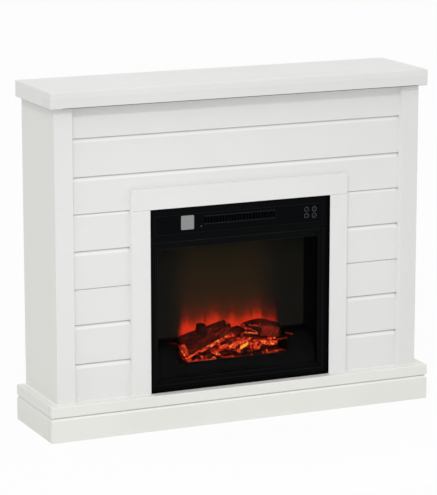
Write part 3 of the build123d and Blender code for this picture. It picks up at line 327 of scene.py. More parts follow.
def flame_screen_finish():
    """A dark screen lit from behind: a band of flame under a curve of heights, and a brown glow above it."""
    material, tree = finish("flame_glass", Emission_Strength=1.42, Roughness=0.4, Specular_IOR_Level=0.01)
    x, _, z = place(tree, "SeparateXYZ", {0: object_place(tree)}).outputs

    # Heights of the tongues, in metres, at places across the screen
    left, right = -0.121, 0.147
    low, high = 0.19, 0.27
    tongues = (
        (-0.121, 0.228), (-0.112, 0.241), (-0.104, 0.243), (-0.087, 0.236), (-0.063, 0.243),
        (-0.055, 0.238), (-0.045, 0.248), (-0.022, 0.250), (-0.014, 0.241), (0.003, 0.237), (0.019, 0.245),
        (0.030, 0.238), (0.044, 0.236), (0.060, 0.244), (0.069, 0.240), (0.077, 0.247), (0.094, 0.247),
        (0.103, 0.232), (0.114, 0.225), (0.127, 0.229), (0.138, 0.222), (0.147, 0.208),
    )
    curve = place(tree, "FloatCurve", {"Value": share_of(tree, x, left, right)})
    points = curve.mapping.curves[0].points
    for tongue_x, tongue_z in tongues[1:-1]:
        points.new((tongue_x - left) / (right - left), (tongue_z - low) / (high - low))
    points[0].location = (0.0, (tongues[0][1] - low) / (high - low))
    points[-1].location = (1.0, (tongues[-1][1] - low) / (high - low))
    curve.mapping.update()
    tip = stretched(tree, curve.outputs[0], low, high)

    # Light under each tongue's tip: the deeper below it, the brighter
    reach, waver_height = 0.06, 0.015
    waver = cloud(tree, object_place(tree, scale=(170, 1, 30)), 1.0, 3.0)
    moved = stretched(tree, waver, -waver_height, waver_height)
    depth = maths(tree, "ADD", maths(tree, "SUBTRACT", tip, z), moved)
    flame = share_of(tree, depth, -reach, reach)
    left_side = eased(tree, x, left - 0.010, left + 0.008)
    right_side = eased(tree, x, right + 0.004, right - 0.012)
    sides = maths(tree, "MULTIPLY", left_side, right_side)
    flame_colours = (
        (0.0, 0.0, 0.0, 0.0),
        (0.21, 0.011, 0.0, 0.0),
        (0.4, 0.054, 0.0006, 0.0),
        (0.5, 0.13, 0.002, 0.0001),
        (0.56, 0.24, 0.006, 0.0004),
        (0.63, 0.43, 0.011, 0.0012),
        (0.69, 0.6, 0.016, 0.003),
        (1.0, 0.68, 0.02, 0.004),
    )
    lit_flame = blended(tree, sides, (0, 0, 0, 1), graded(tree, flame, flame_colours))

    # Brown glow across the middle, which fades upwards and to the sides
    glow_foot, glow_head = 0.29, 0.44
    glow_left, glow_right = (-0.152, -0.092), (0.15, 0.068)
    rise = share_of(tree, z, glow_foot, glow_head)
    glow_colours = (
        (0.0, 0.0245, 0.0119, 0.0048),
        (0.2, 0.0204, 0.0106, 0.0047),
        (0.4, 0.0176, 0.0105, 0.0042),
        (0.6, 0.0138, 0.0092, 0.0041),
        (0.75, 0.0103, 0.0073, 0.0034),
        (1.0, 0.0046, 0.0036, 0.0018),
    )
    side_colours = (
        (0.0, 0.006, 0.0052, 0.004),
        (0.5, 0.0056, 0.005, 0.0038),
        (1.0, 0.0014, 0.002, 0.0014),
    )
    middle = maths(tree, "MULTIPLY", eased(tree, x, *glow_left), eased(tree, x, *glow_right))
    glow = blended(tree, middle, graded(tree, rise, side_colours), graded(tree, rise, glow_colours))
    dust = cloud(tree, object_place(tree), 40.0, 3.0)
    return wire(
        material,
        Emission_Color=combined(tree, "ADD", lit_flame, glow),
        Base_Color=blended(tree, dust, (0.0015, 0.0012, 0.0012, 1), (0.003, 0.0024, 0.002, 1)),
    )


def glowing(name, strength, roughness, warmer, mottle, char, dark, pale, depth):
    """Resin or charcoal that is lit from inside where its heat is high, with a crust between two tones."""
    material, tree = finish(
        name, Emission_Strength=strength, Roughness=roughness, Specular_IOR_Level=0.1
    )
    heat = maths(tree, "ADD", point_value(tree, "ember_heat"), warmer)
    glow = use_group(tree, ember_glow, Heat=heat, Mottle=mottle, Char=char)
    return wire(
        material,
        Emission_Color=glow["Glow"],
        Base_Color=blended(tree, glow["Crust"], (*dark, 1), (*pale, 1)),
        Normal=raised(tree, glow["Crust"], depth),
    )


def log_finish():
    """Resin logs: charred bark that turns to bare red-brown wood by one attribute and glows by another."""
    material, tree = finish("log_resin", Emission_Strength=1.55, Roughness=0.7, Specular_IOR_Level=0.1)
    heat = point_value(tree, "ember_heat")
    bare = point_value(tree, "bare_wood")
    fibre = cloud(tree, object_place(tree, scale=(60, 420, 420)), 1.0, 4.0, 0.6)
    streaked = maths(tree, "ADD", heat, stretched(tree, fibre, -0.22, 0.22))
    glow = use_group(tree, ember_glow, Heat=streaked, Mottle=0.45, Char=0.12)
    bark = blended(tree, glow["Crust"], (0.004, 0.002, 0.001, 1), (0.028, 0.010, 0.006, 1))
    wood = blended(tree, fibre, (0.04, 0.006, 0.003, 1), (0.10, 0.016, 0.007, 1))
    return wire(
        material,
        Base_Color=blended(tree, bare, bark, wood),
        Emission_Color=glow["Glow"],
        Normal=raised(tree, fibre, 0.0007),
    )


def circuit_board():
    """Green solder mask with fine copper tracks under it."""
    material, tree = finish("circuit_board", Roughness=0.4)
    inputs = {
        "Vector": object_place(tree),
        "Color1": (0.010, 0.085, 0.035, 1),
        "Color2": (0.014, 0.105, 0.045, 1),
        "Mortar": (0.03, 0.17, 0.07, 1),
        "Scale": 90.0,
        "Mortar Size": 0.035,
    }
    tracks = place(tree, "TexBrick", inputs)
    return wire(material, Base_Color=tracks.outputs[0], Normal=raised(tree, tracks.outputs[1], 0.00006))


# Painted and moulded skins: dark and pale tones, bumps per metre, their height, least and greatest roughness,
# and for some their shine and the drifts of tone per metre
COATS = {
    "black_frame": ((0.001, 0.0013, 0.0016), (0.0022, 0.0026, 0.0029), 1400, 1.2e-5, (0.36, 0.5), 0.03),
    "black_panel": ((0.0012, 0.0018, 0.0024), (0.002, 0.0027, 0.0034), 1800, 1e-5, (0.32, 0.44), 0.02),
    "button_black": ((0.001, 0.0013, 0.0015), (0.0024, 0.0028, 0.0031), 2200, 8e-6, (0.35, 0.5), 0.06),
    "receiver_smoke": ((0.03, 0.012, 0.012), (0.05, 0.02, 0.02), 300, 1e-5, (0.06, 0.12)),
    "casing_black": ((0.006, 0.006, 0.0065), (0.014, 0.014, 0.015), 1100, 3e-5, (0.42, 0.6), 0.3),
    "firebox_black": ((0.0005, 0.0008, 0.0011), (0.001, 0.0013, 0.0016), 900, 6e-6, (0.4, 0.5), 0.05),
    "hearth_black": ((0.0018, 0.0023, 0.0023), (0.0032, 0.0038, 0.0038), 500, 1e-5, (0.36, 0.48), 0.06, 20),
    "nylon_white": ((0.66, 0.66, 0.62), (0.74, 0.74, 0.7), 600, 2e-5, (0.4, 0.55)),
    "gland_black": ((0.006, 0.006, 0.006), (0.012, 0.012, 0.012), 1200, 1.5e-5, (0.4, 0.55)),
    # Painted highlight: the pale ring round each button's rim
    "rim_highlight_grey": ((0.23, 0.23, 0.23), (0.299, 0.299, 0.299), 1500, 1e-5, (0.5, 0.6), 0.1),
    "sign_print": ((0.03, 0.03, 0.03), (0.039, 0.039, 0.039), 1500, 1e-5, (0.5, 0.6), 0.1),
    # Painted shadow: the dark line under the shelf's front edge
    "shelf_shadow_grey": ((0.08, 0.08, 0.078), (0.12, 0.12, 0.117), 700, 1e-5, (0.6, 0.7)),
    "seam_grey": ((0.26, 0.26, 0.25), (0.34, 0.34, 0.33), 700, 1e-5, (0.6, 0.7)),
    # Painted highlight: the edge beads, a paler black than the frame's
    "edge_highlight_black": ((0.005, 0.0056, 0.006), (0.008, 0.0086, 0.009), 1200, 1e-5, (0.28, 0.38), 0.12),
    # Painted highlight: the pale ends of the grille's slots
    "slot_end_highlight_grey": ((0.002, 0.002, 0.0022), (0.056, 0.058, 0.061), 1500, 1e-5, (0.4, 0.5), 0.1, 120),
}

# Bare and plated metals: dark and pale tones, least and greatest roughness, and for some their brushing
METALS = {
    "zinc_steel": ((0.36, 0.37, 0.38), (0.7, 0.7, 0.7), (0.28, 0.5)),
    "screw_black": ((0.02, 0.02, 0.02), (0.08, 0.08, 0.08), (0.35, 0.5)),
    "mirror_fins": ((0.75, 0.75, 0.76), (0.9, 0.9, 0.9), (0.05, 0.16), 0.5),
    "motor_steel": ((0.28, 0.28, 0.3), (0.55, 0.55, 0.57), (0.3, 0.5)),
    "galvanised": ((0.16, 0.165, 0.17), (0.3, 0.305, 0.31), (0.4, 0.65), 0.4),
    "fan_aluminium": ((0.55, 0.55, 0.56), (0.8, 0.8, 0.8), (0.25, 0.42)),
    "element_steel": ((0.01, 0.009, 0.009), (0.035, 0.03, 0.028), (0.45, 0.6)),
    "badge_silver": ((0.165, 0.165, 0.165), (0.35, 0.35, 0.36), (0.35, 0.5), 1.4),
}

# White paints, by what sets each apart from the plain one. Every one paints light and shade into its colour
# by how far a face looks up. The grooves paint a highlight near each groove's mouth and shade at its bottom,
# the shelf's low under values paint shade on its undersides, the side highlight factors paint faces that look
# along
# X paler, the trim's crown paints light on its tops, and the levels paint shade on the shelf's front edge and
# the right pilaster and light on the deck and the plinth's front.
PAINTS = {
    "white_paint": {},
    "plank_groove_lit_shaded_paint": {"groove": (-0.083, -0.0785)},
    "shelf_shaded_underside_paint": {"under": 0.36},
    "shelf_edge_shaded_paint": {"level": 0.965, "under": 0.36},
    "trim_highlit_paint": {"side_highlight": 1.14, "crown": 0.92},
    "side_paint": {"blue": 0.955},
    "pilaster_shaded_highlit_paint": {"level": 0.97, "side_highlight": 1.14},
    "deck_lit_paint": {"level": 1.08},
    "plinth_lit_groove_shaded_paint": {"level": 1.035, "blue": 0.955, "groove": (-0.122, -0.117)},
}

# Glowing resin and charcoal: strength, roughness, added heat, mottle, char, and the crust's tones and height
EMBERS = {
    "ember_resin": (1.75, 0.6, 0.03, 0.75, 0.28, (0.01, 0.002, 0.001), (0.06, 0.007, 0.003), 0.0008),
    "charcoal": (1.6, 0.85, 0.0, 0.5, 0.08, (0.002, 0.001, 0.001), (0.014, 0.006, 0.004), 0.0012),
}

finishes = {name: coated(name, *coat) for name, coat in COATS.items()}
finishes |= {name: bare_metal(name, *metal) for name, metal in METALS.items()}
finishes |= {name: painted_board(name, **paint) for name, paint in PAINTS.items()}
finishes |= {name: glowing(name, *ember) for name, ember in EMBERS.items()}
finishes |= {
    "window_glass": window_glass(),
    "flame_glass": flame_screen_finish(),
    "log_resin": log_finish(),
    "circuit_board": circuit_board(),
}

# Nodes whose finish differs from that of their slot
NODES_BY_FINISH = {
    "plank_groove_lit_shaded_paint": ("upper_front_panel", "left_front_panel", "right_front_panel"),
    "trim_highlit_paint": ("surround_left_stile", "surround_right_stile", "surround_top_rail"),
    "side_paint": ("left_side_panel", "right_side_panel", "plinth_left", "plinth_right"),
    "pilaster_shaded_highlit_paint": ("right_pilaster",),
    "deck_lit_paint": ("plinth_deck",),
    "plinth_lit_groove_shaded_paint": ("plinth_front",),
    "shelf_shaded_underside_paint": ("shelf_top", "shelf_left_edge", "shelf_right_edge"),
    "shelf_edge_shaded_paint": ("shelf_front_edge",),
    "hearth_black": ("log_tray",),
    "element_steel": ("heating_element",),
}
finish_of = {node: name for name, nodes in NODES_BY_FINISH.items() for node in nodes}

for subpart in frame["record"]["subparts"]:
    shown = frame["nodes"][subpart["node"]]
    shown.data.materials.clear()
    shown.data.materials.append(finishes[finish_of.get(subpart["node"], subpart["material_slot"])])


# Surfaces worked out on grids


def lattice_noise(points, size, seed):
    """Smooth noise from -1 to 1: hashed values at the corners of cells, eased across each cell."""
    cell = points / size
    base = np.floor(cell).astype(np.int64)
    ease = cell - base
    ease = ease * ease * (3 - 2 * ease)
    primes = np.array([73856093, 19349663, 83492791])
    total = np.zeros(points.shape[:-1])
    for corner in np.ndindex(2, 2, 2):
        key = ((base + corner) * primes).sum(axis=-1) + seed * 668265263
        key = (key ^ (key >> 15)) * 2246822519 & 0xFFFFFFFF
        key = (key ^ (key >> 13)) * 3266489917 & 0xFFFFFFFF
        value = (key >> 8 & 0xFFFF) / 0xFFFF
        total += value * np.where(np.array(corner) == 1, ease, 1 - ease).prod(axis=-1)
    return 2 * total - 1


def rough(points, size, seed, octaves=3):
    """Noise summed over octaves, each of half the size and half the strength of the last."""
    return sum(lattice_noise(points, size / 2**i, seed + i) / 2**i for i in range(octaves))


def quad_faces(rows, columns, wrap_rows=False):
    """The quads of a grid whose columns close on themselves, and whose rows do too if asked."""
    row = np.arange(rows if wrap_rows else rows - 1)[:, None]
    column = np.arange(columns)[None, :]
    after_row = (row + 1) % rows
    after_column = (column + 1) % columns
    corners = (row * columns + column, row * columns + after_column)
    opposite = (after_row * columns + after_column, after_row * columns + column)
    return np.stack(np.broadcast_arrays(*corners, *opposite), axis=-1).reshape(-1, 4)


def closed_form(grid):
    """Vertices and faces of a grid of rings (rows, columns, 3), each end closed by a fan to its middle."""
    rows, columns, _ = grid.shape
    points = np.concatenate([grid.reshape(-1, 3), grid[0].mean(axis=0)[None], grid[-1].mean(axis=0)[None]])
    step = np.arange(columns)
    after = (step + 1) % columns
    first = np.stack([np.full(columns, rows * columns), after, step], axis=-1)
    last_row = (rows - 1) * columns
    last = np.stack([np.full(columns, rows * columns + 1), last_row + step, last_row + after], axis=-1)
    return points, [quad_faces(rows, columns), first, last]


def joined(forms):
    """Several (vertices, face lists) forms as one."""
    points, faces, start = [], [], 0
    for form_points, form_faces in forms:
        points.append(form_points)
        faces.extend(part + start for part in form_faces)
        start += len(form_points)
    return np.concatenate(points), faces


def new_object(name, data):
    """An object in the scene, at the origin."""
    made = bpy.data.objects.new(name, data)
    bpy.context.scene.collection.objects.link(made)
    return made


def piece(name, form, coat, slot=None, body=MANTEL, stands_for=(), smooth=True, **attributes):
    """A mesh object from a form, with its finish, body and any per-point attributes. The slot is not used."""
    points, faces = form
    mesh = bpy.data.meshes.new(name)
    sizes = np.concatenate([np.full(len(part), part.shape[1]) for part in faces])
    corners = np.concatenate([part.ravel() for part in faces])
    mesh.vertices.add(len(points))
    mesh.vertices.foreach_set("co", np.asarray(points, np.float32).ravel())
    mesh.loops.add(len(corners))
    mesh.loops.foreach_set("vertex_index", corners.astype(np.int32))
    mesh.polygons.add(len(sizes))
    mesh.polygons.foreach_set("loop_start", (np.cumsum(sizes) - sizes).astype(np.int32))
    mesh.polygons.foreach_set("loop_total", sizes.astype(np.int32))
    mesh.polygons.foreach_set("use_smooth", np.full(len(sizes), smooth))
    for label, values in attributes.items():
        layer = mesh.attributes.new(label, "FLOAT", "POINT")
        layer.data.foreach_set("value", np.asarray(values, np.float32).ravel())
    mesh.update(calc_edges=True)
    mesh.validate()
    mesh.materials.append(finishes[coat])
    made = new_object(name, mesh)
    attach(made, body)
    if stands_for:
        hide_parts(*stands_for)


def closing_values(grid_values):
    """A grid's per-point values with those of the two closing points added."""
    return np.concatenate([grid_values.ravel(), [grid_values[0].mean(), grid_values[-1].mean()]])


def fire_point(across, back, up):
    """A point in metres, from millimetres across, back from the bed's front and up from its base."""
    return np.array([across / 1000, bed_low.y + back / 1000, bed_low.z + up / 1000])


# Ember bed

BED_SECTION = ((0, 0, 0), (2, 0.25, 0), (10, 0.62, 0), (20, 1, 0), (36, 0, 1), (50, 0, 0.8), (58, 0, 0))
CREST_HEIGHTS = (12, 18, 27, 43, 58, 46, 40, 36, 28)
RIDGE_HEIGHTS = (36, 43, 50, 56, 62, 46, 40, 36, 28)


def ember_bed(columns=260, rows=110):
    """The bed's skin: its section, whose corners rise with the crest's and the ridge's heights at each place
    across, run round as rings from left to right and roughened into lumps by noise. Heat is high in front."""
    lump_size, lump_height, foot_height = 0.016, 0.0028, 0.006
    hot_depth, patch_size = 0.024, 0.020
    across = np.linspace(bed_low.x, bed_high.x, columns)
    stations = np.linspace(bed_low.x, bed_high.x, len(CREST_HEIGHTS))
    crest = np.interp(across, stations, CREST_HEIGHTS)[:, None] / 1000
    ridge = np.interp(across, stations, RIDGE_HEIGHTS)[:, None] / 1000
    corners = np.arange(len(BED_SECTION))
    spread = np.linspace(0, corners[-1], rows - 1)
    back, crest_share, ridge_share = (np.interp(spread, corners, part) for part in np.transpose(BED_SECTION))
    z = bed_low.z + crest * crest_share + ridge * ridge_share
    grid = np.stack(np.broadcast_arrays(across[:, None], bed_low.y + back / 1000, z), axis=-1)
    lumps = rough(grid, lump_size, 11, 4)
    outward = (grid - [0, (bed_low.y + bed_high.y) / 2, bed_low.z]) * [0, 1, 1]
    outward /= np.linalg.norm(outward, axis=-1, keepdims=True)
    foot = np.minimum(1, (z - bed_low.z) / foot_height)
    grid = grid + outward * (lump_height * lumps * foot)[..., None]
    front = np.clip(1 - (grid[..., 1] - bed_low.y) / hot_depth, 0, 1)
    heat = 0.64 * front**0.4 - 0.34 * np.clip(lumps, -0.3, 1) + 0.34 * rough(grid, patch_size, 5, 3)
    base_middle = (grid[:, :1] + grid[:, -1:]) / 2
    grid = np.concatenate([grid, base_middle], axis=1)
    heat = np.concatenate([heat, heat[:, :1]], axis=1)
    return closed_form(grid[::-1]), closing_values(heat[::-1])


# Logs, embers and coals


def log_form(
    start, end, radii, seed, bark=0.10, hump=0.0, rings=120, facets=84, heat_of=None, bare_of=None
):
    """A log: rings along an axis whose radius tapers, swells with slow noise, rises to a hump on top and is
    scored lengthwise by bark ridges, closed at each end by a broken face. heat_of and bare_of take the places
    along and around, from 0 to 1, and the swell. Around starts on top and runs towards the viewer."""
    hump_place, hump_width, break_depth = 0.4, 0.45, 0.0016
    swell_size, bark_size, bark_squeeze, break_size = 1.6, 0.42, 0.22, 0.5
    start, end = fire_point(*start), fire_point(*end)
    axis = end - start
    length = np.linalg.norm(axis)
    forward = axis / length
    side = np.cross(forward, [0, 0, 1.0])
    side /= np.linalg.norm(side)
    lift = np.cross(side, forward)
    cap = np.array([0.35, 0.75, 0.94])
    along = np.concatenate([np.zeros(3), np.linspace(0, 1, rings), np.ones(3)])[:, None]
    shrink = np.concatenate([cap, np.ones(rings), cap[::-1]])[:, None]
    around = np.linspace(0, 1, facets, endpoint=False)[None, :]
    turn = 2 * np.pi * around
    taper = (radii[0] + (radii[1] - radii[0]) * along) / 1000
    mean = sum(radii) / 2000
    ring = np.stack(np.broadcast_arrays(np.cos(turn), np.sin(turn), along * length / mean), axis=-1)
    swell = rough(ring, swell_size, seed, 2)
    scored = np.abs(rough(ring * [1, 1, bark_squeeze], bark_size, seed + 7, 3))
    bare = np.zeros(swell.shape) if bare_of is None else bare_of(along, around, swell)
    heat = np.zeros(swell.shape) if heat_of is None else heat_of(along, around, swell)
    depth = bark * (1 - 0.85 * bare) * (1 - np.clip(3.2 * scored, 0, 1))
    crown = hump * np.exp(-(((along - hump_place) / hump_width) ** 2)) * np.clip(np.cos(turn), 0, 1)
    burnt = 0.12 * np.clip(heat - 0.6, 0, 0.4) + 0.08 * bare
    radius = taper * shrink * (1 + 0.09 * swell - depth - burnt + crown)
    broken = break_depth * rough(ring, break_size, seed + 3, 2) * (shrink < 1) * np.sign(along - 0.5)
    grid = (
        (start + axis * along)[:, None, :]
        + (radius * np.cos(turn))[..., None] * lift
        + (radius * np.sin(turn))[..., None] * side
        + broken[..., None] * forward
    )
    return closed_form(grid), closing_values(heat), closing_values(bare)


def gathered(parts):
    """Several (form, heat, bare) parts as one."""
    forms, heats, bares = zip(*parts)
    return joined(forms), np.concatenate(heats), np.concatenate(bares)


def streak(along, around, start, end, half):
    """1 on a line between two places (along, around) on a log, falling to 0 at its ends and at twice half."""
    share = (along - start[0]) / (end[0] - start[0])
    centre = start[1] + share * (end[1] - start[1])
    ends = np.clip(12 * share, 0, 1) * np.clip(12 * (1 - share), 0, 1)
    return ends * np.clip(2 - np.abs(around - centre) / half, 0, 1)


def warmth(base, streaks=(), end_heat=0.0, bare_of=None, bare_heat=0.0):
    """The heat of a log: dull and uneven all over, less at its right end, more on bare wood, and high on its
    left end and along streaks, each with its start and end (along, around), half width and heat."""

    def heat_of(along, around, swell):
        heat = base + 0.12 * swell - 0.16 * np.clip(12 * along - 11, 0, 1)
        if bare_of:
            heat = heat + bare_heat * bare_of(along, around, swell)
        for start, end, half, strength in streaks:
            heat = np.maximum(heat, strength * streak(along, around + 0.010 * swell, start, end, half))
        return np.maximum(heat, end_heat * (along <= 0))

    return heat_of


def heat_run(heats):
    """The heat of a stick, which runs through three values along it."""

    def heat_of(along, around, swell):
        return np.interp(along, (0, 0.5, 1), heats) + 0.09 * swell

    return heat_of


def right_log_bare(along, around, swell):
    """Bare wood on the viewer's side of the right log, between ragged edges of bark."""
    top = np.clip((around - 0.105 - 0.03 * along + 0.012 * swell) * 60, 0, 1)
    foot = np.clip((0.345 - around) * 40, 0, 1)
    left = np.clip((along - 0.42 + 0.03 * swell) * 30, 0, 1)
    right = np.clip((0.97 - along - 0.03 * swell) * 30, 0, 1)
    return top * foot * left * right


# Glowing streaks on the logs
REAR_STREAKS = (((0.53, 0.20), (0.65, 0.19), 0.05, 0.46),)
FRONT_STREAKS = (((0.62, 0.10), (1.0, -0.02), 0.03, 0.50), ((0.0, 0.44), (1.0, 0.44), 0.05, 0.55))
RIGHT_STREAKS = (
    ((0.07, 0.075), (0.38, 0.152), 0.008, 0.7),
    ((0.42, 0.085), (0.36, 0.155), 0.016, 0.62),
    ((-0.05, 0.135), (0.3, 0.215), 0.009, 0.72),
    ((-0.05, 0.238), (0.37, 0.267), 0.011, 0.92),
    ((0.27, 0.225), (0.36, 0.245), 0.014, 0.68),
)

# Coals seen in front of the bed: middle across, back and up, half sizes across, back and up, and heat
COALS = (
    ((-107, 2, 10), (13, 7, 6), 0.28),
    ((-73.5, 2, 13), (16, 9, 8.5), 0.28),
    ((-15, 9, 38.5), (20, 10, 11), 0.33),
    ((-19, 2, 13), (20, 9, 7.5), 0.26),
    ((30, 2, 10.5), (18, 9, 10), 0.18),
    ((58, 1, 4), (13, 8, 9), 0.1),
    ((78.5, 3, 14.5), (11, 8, 10), 0.26),
    ((105, 4, 11.5), (12, 8, 7.5), 0.24),
    ((14, 27, 59), (22, 10, 12), 0.2),
    ((2, 1, 5), (9, 7, 7), 0.2),
    ((24, 14, 50), (12, 7, 6), 0.32),
    ((70, 14, 38), (21, 7, 4), 0.28),
    ((-45, 1, 3), (10, 6, 5), 0.24),
    ((91, 2, 12), (6, 6, 6), 0.24),
    ((-96, 3, 19), (7, 5, 4), 0.34),
    ((8, 6, 24), (7, 5, 8), 0.34),
)

# Glowing sticks of the bed: ends across, back and up, end radii, and heats at the start, middle and end
STICKS = (
    ((-130, 3, 8), (-5, 10, 56.5), (3.4, 4.8), (0.6, 0.78, 0.7)),
    ((-24, 4, 20), (35, 8, 41), (6, 6), (0.7, 0.7, 0.6)),
    ((-15, 1, 26), (-4, 3, 34), (2.4, 2.4), (0.84, 0.94, 0.84)),
    ((14, 0, 20.5), (36, 4, 31.5), (3.8, 4.2), (0.9, 1, 0.9)),
    ((43, 7, 33), (117, 7, 22), (6, 5.5), (0.64, 0.68, 0.66)),
    ((68, 2, 31.5), (90, 3, 28), (2.4, 2.4), (0.72, 0.84, 0.72)),
    ((95, 2, 25), (110, 3, 20.5), (2.2, 2.2), (0.72, 0.84, 0.72)),
    ((43, 2, 22), (70, 3, 27), (6.5, 6), (0.62, 0.68, 0.64)),
    ((54, 1, 13), (70, 2, 18), (4, 4), (0.62, 0.68, 0.62)),
    ((-44, 2, 26), (-20, 3, 32), (4.5, 4), (0.64, 0.7, 0.62)),
    ((78, 0, 4.5), (117, 0, 1.6), (2, 1.8), (0.5, 0.54, 0.5)),
    ((-127, 1, 3), (-56, 1, 2), (2.6, 2), (0.66, 0.6, 0.58)),
    ((-34, 0, 4), (-7, 0, 2.2), (2, 2), (0.54, 0.6, 0.52)),
    ((-148, 13, 42), (-129, 3, 4), (1.6, 2), (0.62, 0.74, 0.72)),
    ((-136, 13, 41), (-125, 6, 12), (5, 6), (0.66, 0.7, 0.5)),
    ((5, 1, 16), (16, 1, 8), (3.5, 3.2), (0.66, 0.76, 0.66)),
    ((92, 8, 36.5), (113, 8, 35), (3, 2.6), (0.62, 0.7, 0.62)),
    ((35, 8, 41), (48, 8, 40), (3, 2.6), (0.62, 0.7, 0.62)),
    ((150, 26, 41), (168, 20, 36), (1.4, 1.1), (0.38, 0.56, 0.36)),
    ((118, 11, 29), (149, 14, 31), (2.4, 1.4), (0.44, 0.46, 0.36)),
    ((114, 3, 5), (140, 4, 3), (2, 1.3), (0.42, 0.44, 0.3)),
    ((-148, 26, 43), (-162, 28, 43), (1.5, 1.2), (0.34, 0.4, 0.3)),
)


def lumpy_coals(seed=90, power=5, rows=28, columns=40):
    """Coals: rounded cubes in polar form, 1 / (|x|^n + |y|^n + |z|^n)^(1/n), each turned by its own angle,
    stretched to its own half sizes and dented by noise."""
    tip, tilt_step = 0.10, 0.9
    dent_size, dent_depth, dent_heat, fill = 0.8, 0.32, 0.30, 0.85
    slope = np.linspace(tip, np.pi - tip, rows)[:, None]
    turn = np.linspace(0, 2 * np.pi, columns, endpoint=False)[None, :]
    parts = (-np.cos(slope), -np.sin(slope) * np.sin(turn), np.sin(slope) * np.cos(turn))
    ball = np.stack(np.broadcast_arrays(*parts), axis=-1)
    forms, heats = [], []
    for number, (spot, half, warm) in enumerate(COALS):
        cosine, sine = math.cos(tilt_step * number), math.sin(tilt_step * number)
        tilted = ball @ np.array([[cosine, 0, sine], [0, 1, 0], [-sine, 0, cosine]])
        block = (np.abs(tilted) ** power).sum(axis=-1) ** (-1 / power)
        dents = rough(ball + 3.7 * number, dent_size, seed, 3)
        reach = fill * block * (1 + dent_depth * dents)
        forms.append(closed_form(fire_point(*spot) + ball * reach[..., None] * np.array(half) / 1000))
        heats.append(closing_values(warm - dent_heat * dents))
    return joined(forms), np.concatenate(heats)


def glowing_sticks():
    """The bed's glowing sticks, each a small log with its own run of heat."""
    return gathered(
        log_form(start, end, radii, 40 + number, rings=60, facets=40, heat_of=heat_run(heats))
        for number, (start, end, radii, heats) in enumerate(STICKS)
    )


def add_fire():
    """The bed, its sticks and coals, and the three logs, in the places of their solids."""
    bed, heat = ember_bed()
    piece("ember_bed_skin", bed, "ember_resin", stands_for=["ember_bed"], ember_heat=heat)
    sticks, heat, _ = glowing_sticks()
    piece("ember_sticks", sticks, "ember_resin", ember_heat=heat)
    coals, heat = lumpy_coals()
    piece("charcoal_lumps", coals, "charcoal", "ember_resin", ember_heat=heat)
    rear_heat = warmth(0.26, REAR_STREAKS)
    front_heat = warmth(0.32, FRONT_STREAKS, 0.62)
    right_heat = warmth(0.19, RIGHT_STREAKS, 0.52, right_log_bare, 0.23)
    logs = {
        "rear_left_log": [
            log_form((-131, 35.5, 44), (-10, 42, 73), (15, 14), 3, 0.16, heat_of=rear_heat),
            log_form((-80, 36, 54), (-78, 34, 83), (13, 12.5), 5, 0.16, rings=40, heat_of=warmth(0.13)),
        ],
        "front_left_log": [
            log_form((-126, 19, 17), (-4, 18, 67), (15, 10.5), 8, 0.18, heat_of=front_heat),
            log_form((-17, 18, 66), (-8, 18, 81), (7, 4.5), 9, 0.16, rings=40, heat_of=warmth(0.26)),
        ],
        "right_log": [
            log_form(
                (34, 31, 54), (130, 35, 46), (18, 21), 15, 0.12, 0.6,
                heat_of=right_heat, bare_of=right_log_bare,
            ),
        ],
    }
    for node, parts in logs.items():
        form, heat, bare = gathered(parts)
        piece(f"{node}_bark", form, "log_resin", stands_for=[node], ember_heat=heat, bare_wood=bare)


add_fire()


# Mouldings, strokes and plates


def moulding_form(path, centre, spread, rise, closed=True):
    """A moulding on a face that looks along -Y: a profile of places across the path and out of the face,
    carried along the points (x, z) of a path that may close on itself, about a centre."""
    ahead = np.roll(path, -1, axis=0) - np.roll(path, 1, axis=0) if closed else np.gradient(path, axis=0)
    ahead = ahead / np.linalg.norm(ahead, axis=1, keepdims=True)
    x = path[:, :1] - ahead[:, 1:] * spread
    z = path[:, 1:] + ahead[:, :1] * spread
    grid = np.asarray(centre) + np.stack(np.broadcast_arrays(x, -rise, z), axis=-1)
    if closed:
        return grid.reshape(-1, 3), [quad_faces(*grid.shape[:2], wrap_rows=True)]
    return closed_form(grid)


def ribbon_form(path, centre, width, thickness, closed=False):
    """A square-edged stroke along a path."""
    spread = width / 2 * np.array([1, 1, -1, -1])
    return moulding_form(path, centre, spread, thickness * np.array([0, 1, 1, 0]), closed)


def bead_form(path, y, radius):
    """A half-round bead along a closed path."""
    turn = np.linspace(0, np.pi, 7)
    return moulding_form(path, (0, y, 0), radius * np.cos(turn), radius * np.sin(turn))


def plate_form(centre, half, profile, corner, columns=160):
    """A plate on a face that looks along -Y: a rounded-square outline, |x|^n + |z|^n = 1 with n the corner
    power, shrunk and raised by each (inset, rise) step of a profile, in metres."""
    turn = np.linspace(0, 2 * np.pi, columns, endpoint=False)
    reach = (np.abs(np.cos(turn)) ** corner + np.abs(np.sin(turn)) ** corner) ** (-1 / corner)
    inset, rise = np.array(profile).T[..., None]
    x = np.cos(turn) * reach * (half[0] - inset)
    z = np.sin(turn) * reach * (half[1] - inset)
    return closed_form(np.asarray(centre) + np.stack(np.broadcast_arrays(x, -rise, z), axis=-1))


def circle_path(radius, start=0.0, end=360.0, count=64):
    """Points of an arc in degrees from the right, anticlockwise."""
    turn = np.radians(np.linspace(start, end, count, endpoint=end - start < 360))
    return np.stack([radius * np.cos(turn), radius * np.sin(turn)], axis=-1)


def wave_path(x, reach, swing, count=24):
    """A rising line that swings twice from side to side."""
    z = np.linspace(-reach, reach, count)
    return np.stack([x + swing * np.sin(2 * np.pi * z / reach), z], axis=-1)


def flame_path(width, height, count=48):
    """A pointed drop: round below and drawn to a tip above."""
    turn = np.linspace(0, 2 * np.pi, count, endpoint=False)
    return np.stack([width * np.sin(turn) * np.sin(turn / 2) ** 1.5, height * np.cos(turn)], axis=-1)


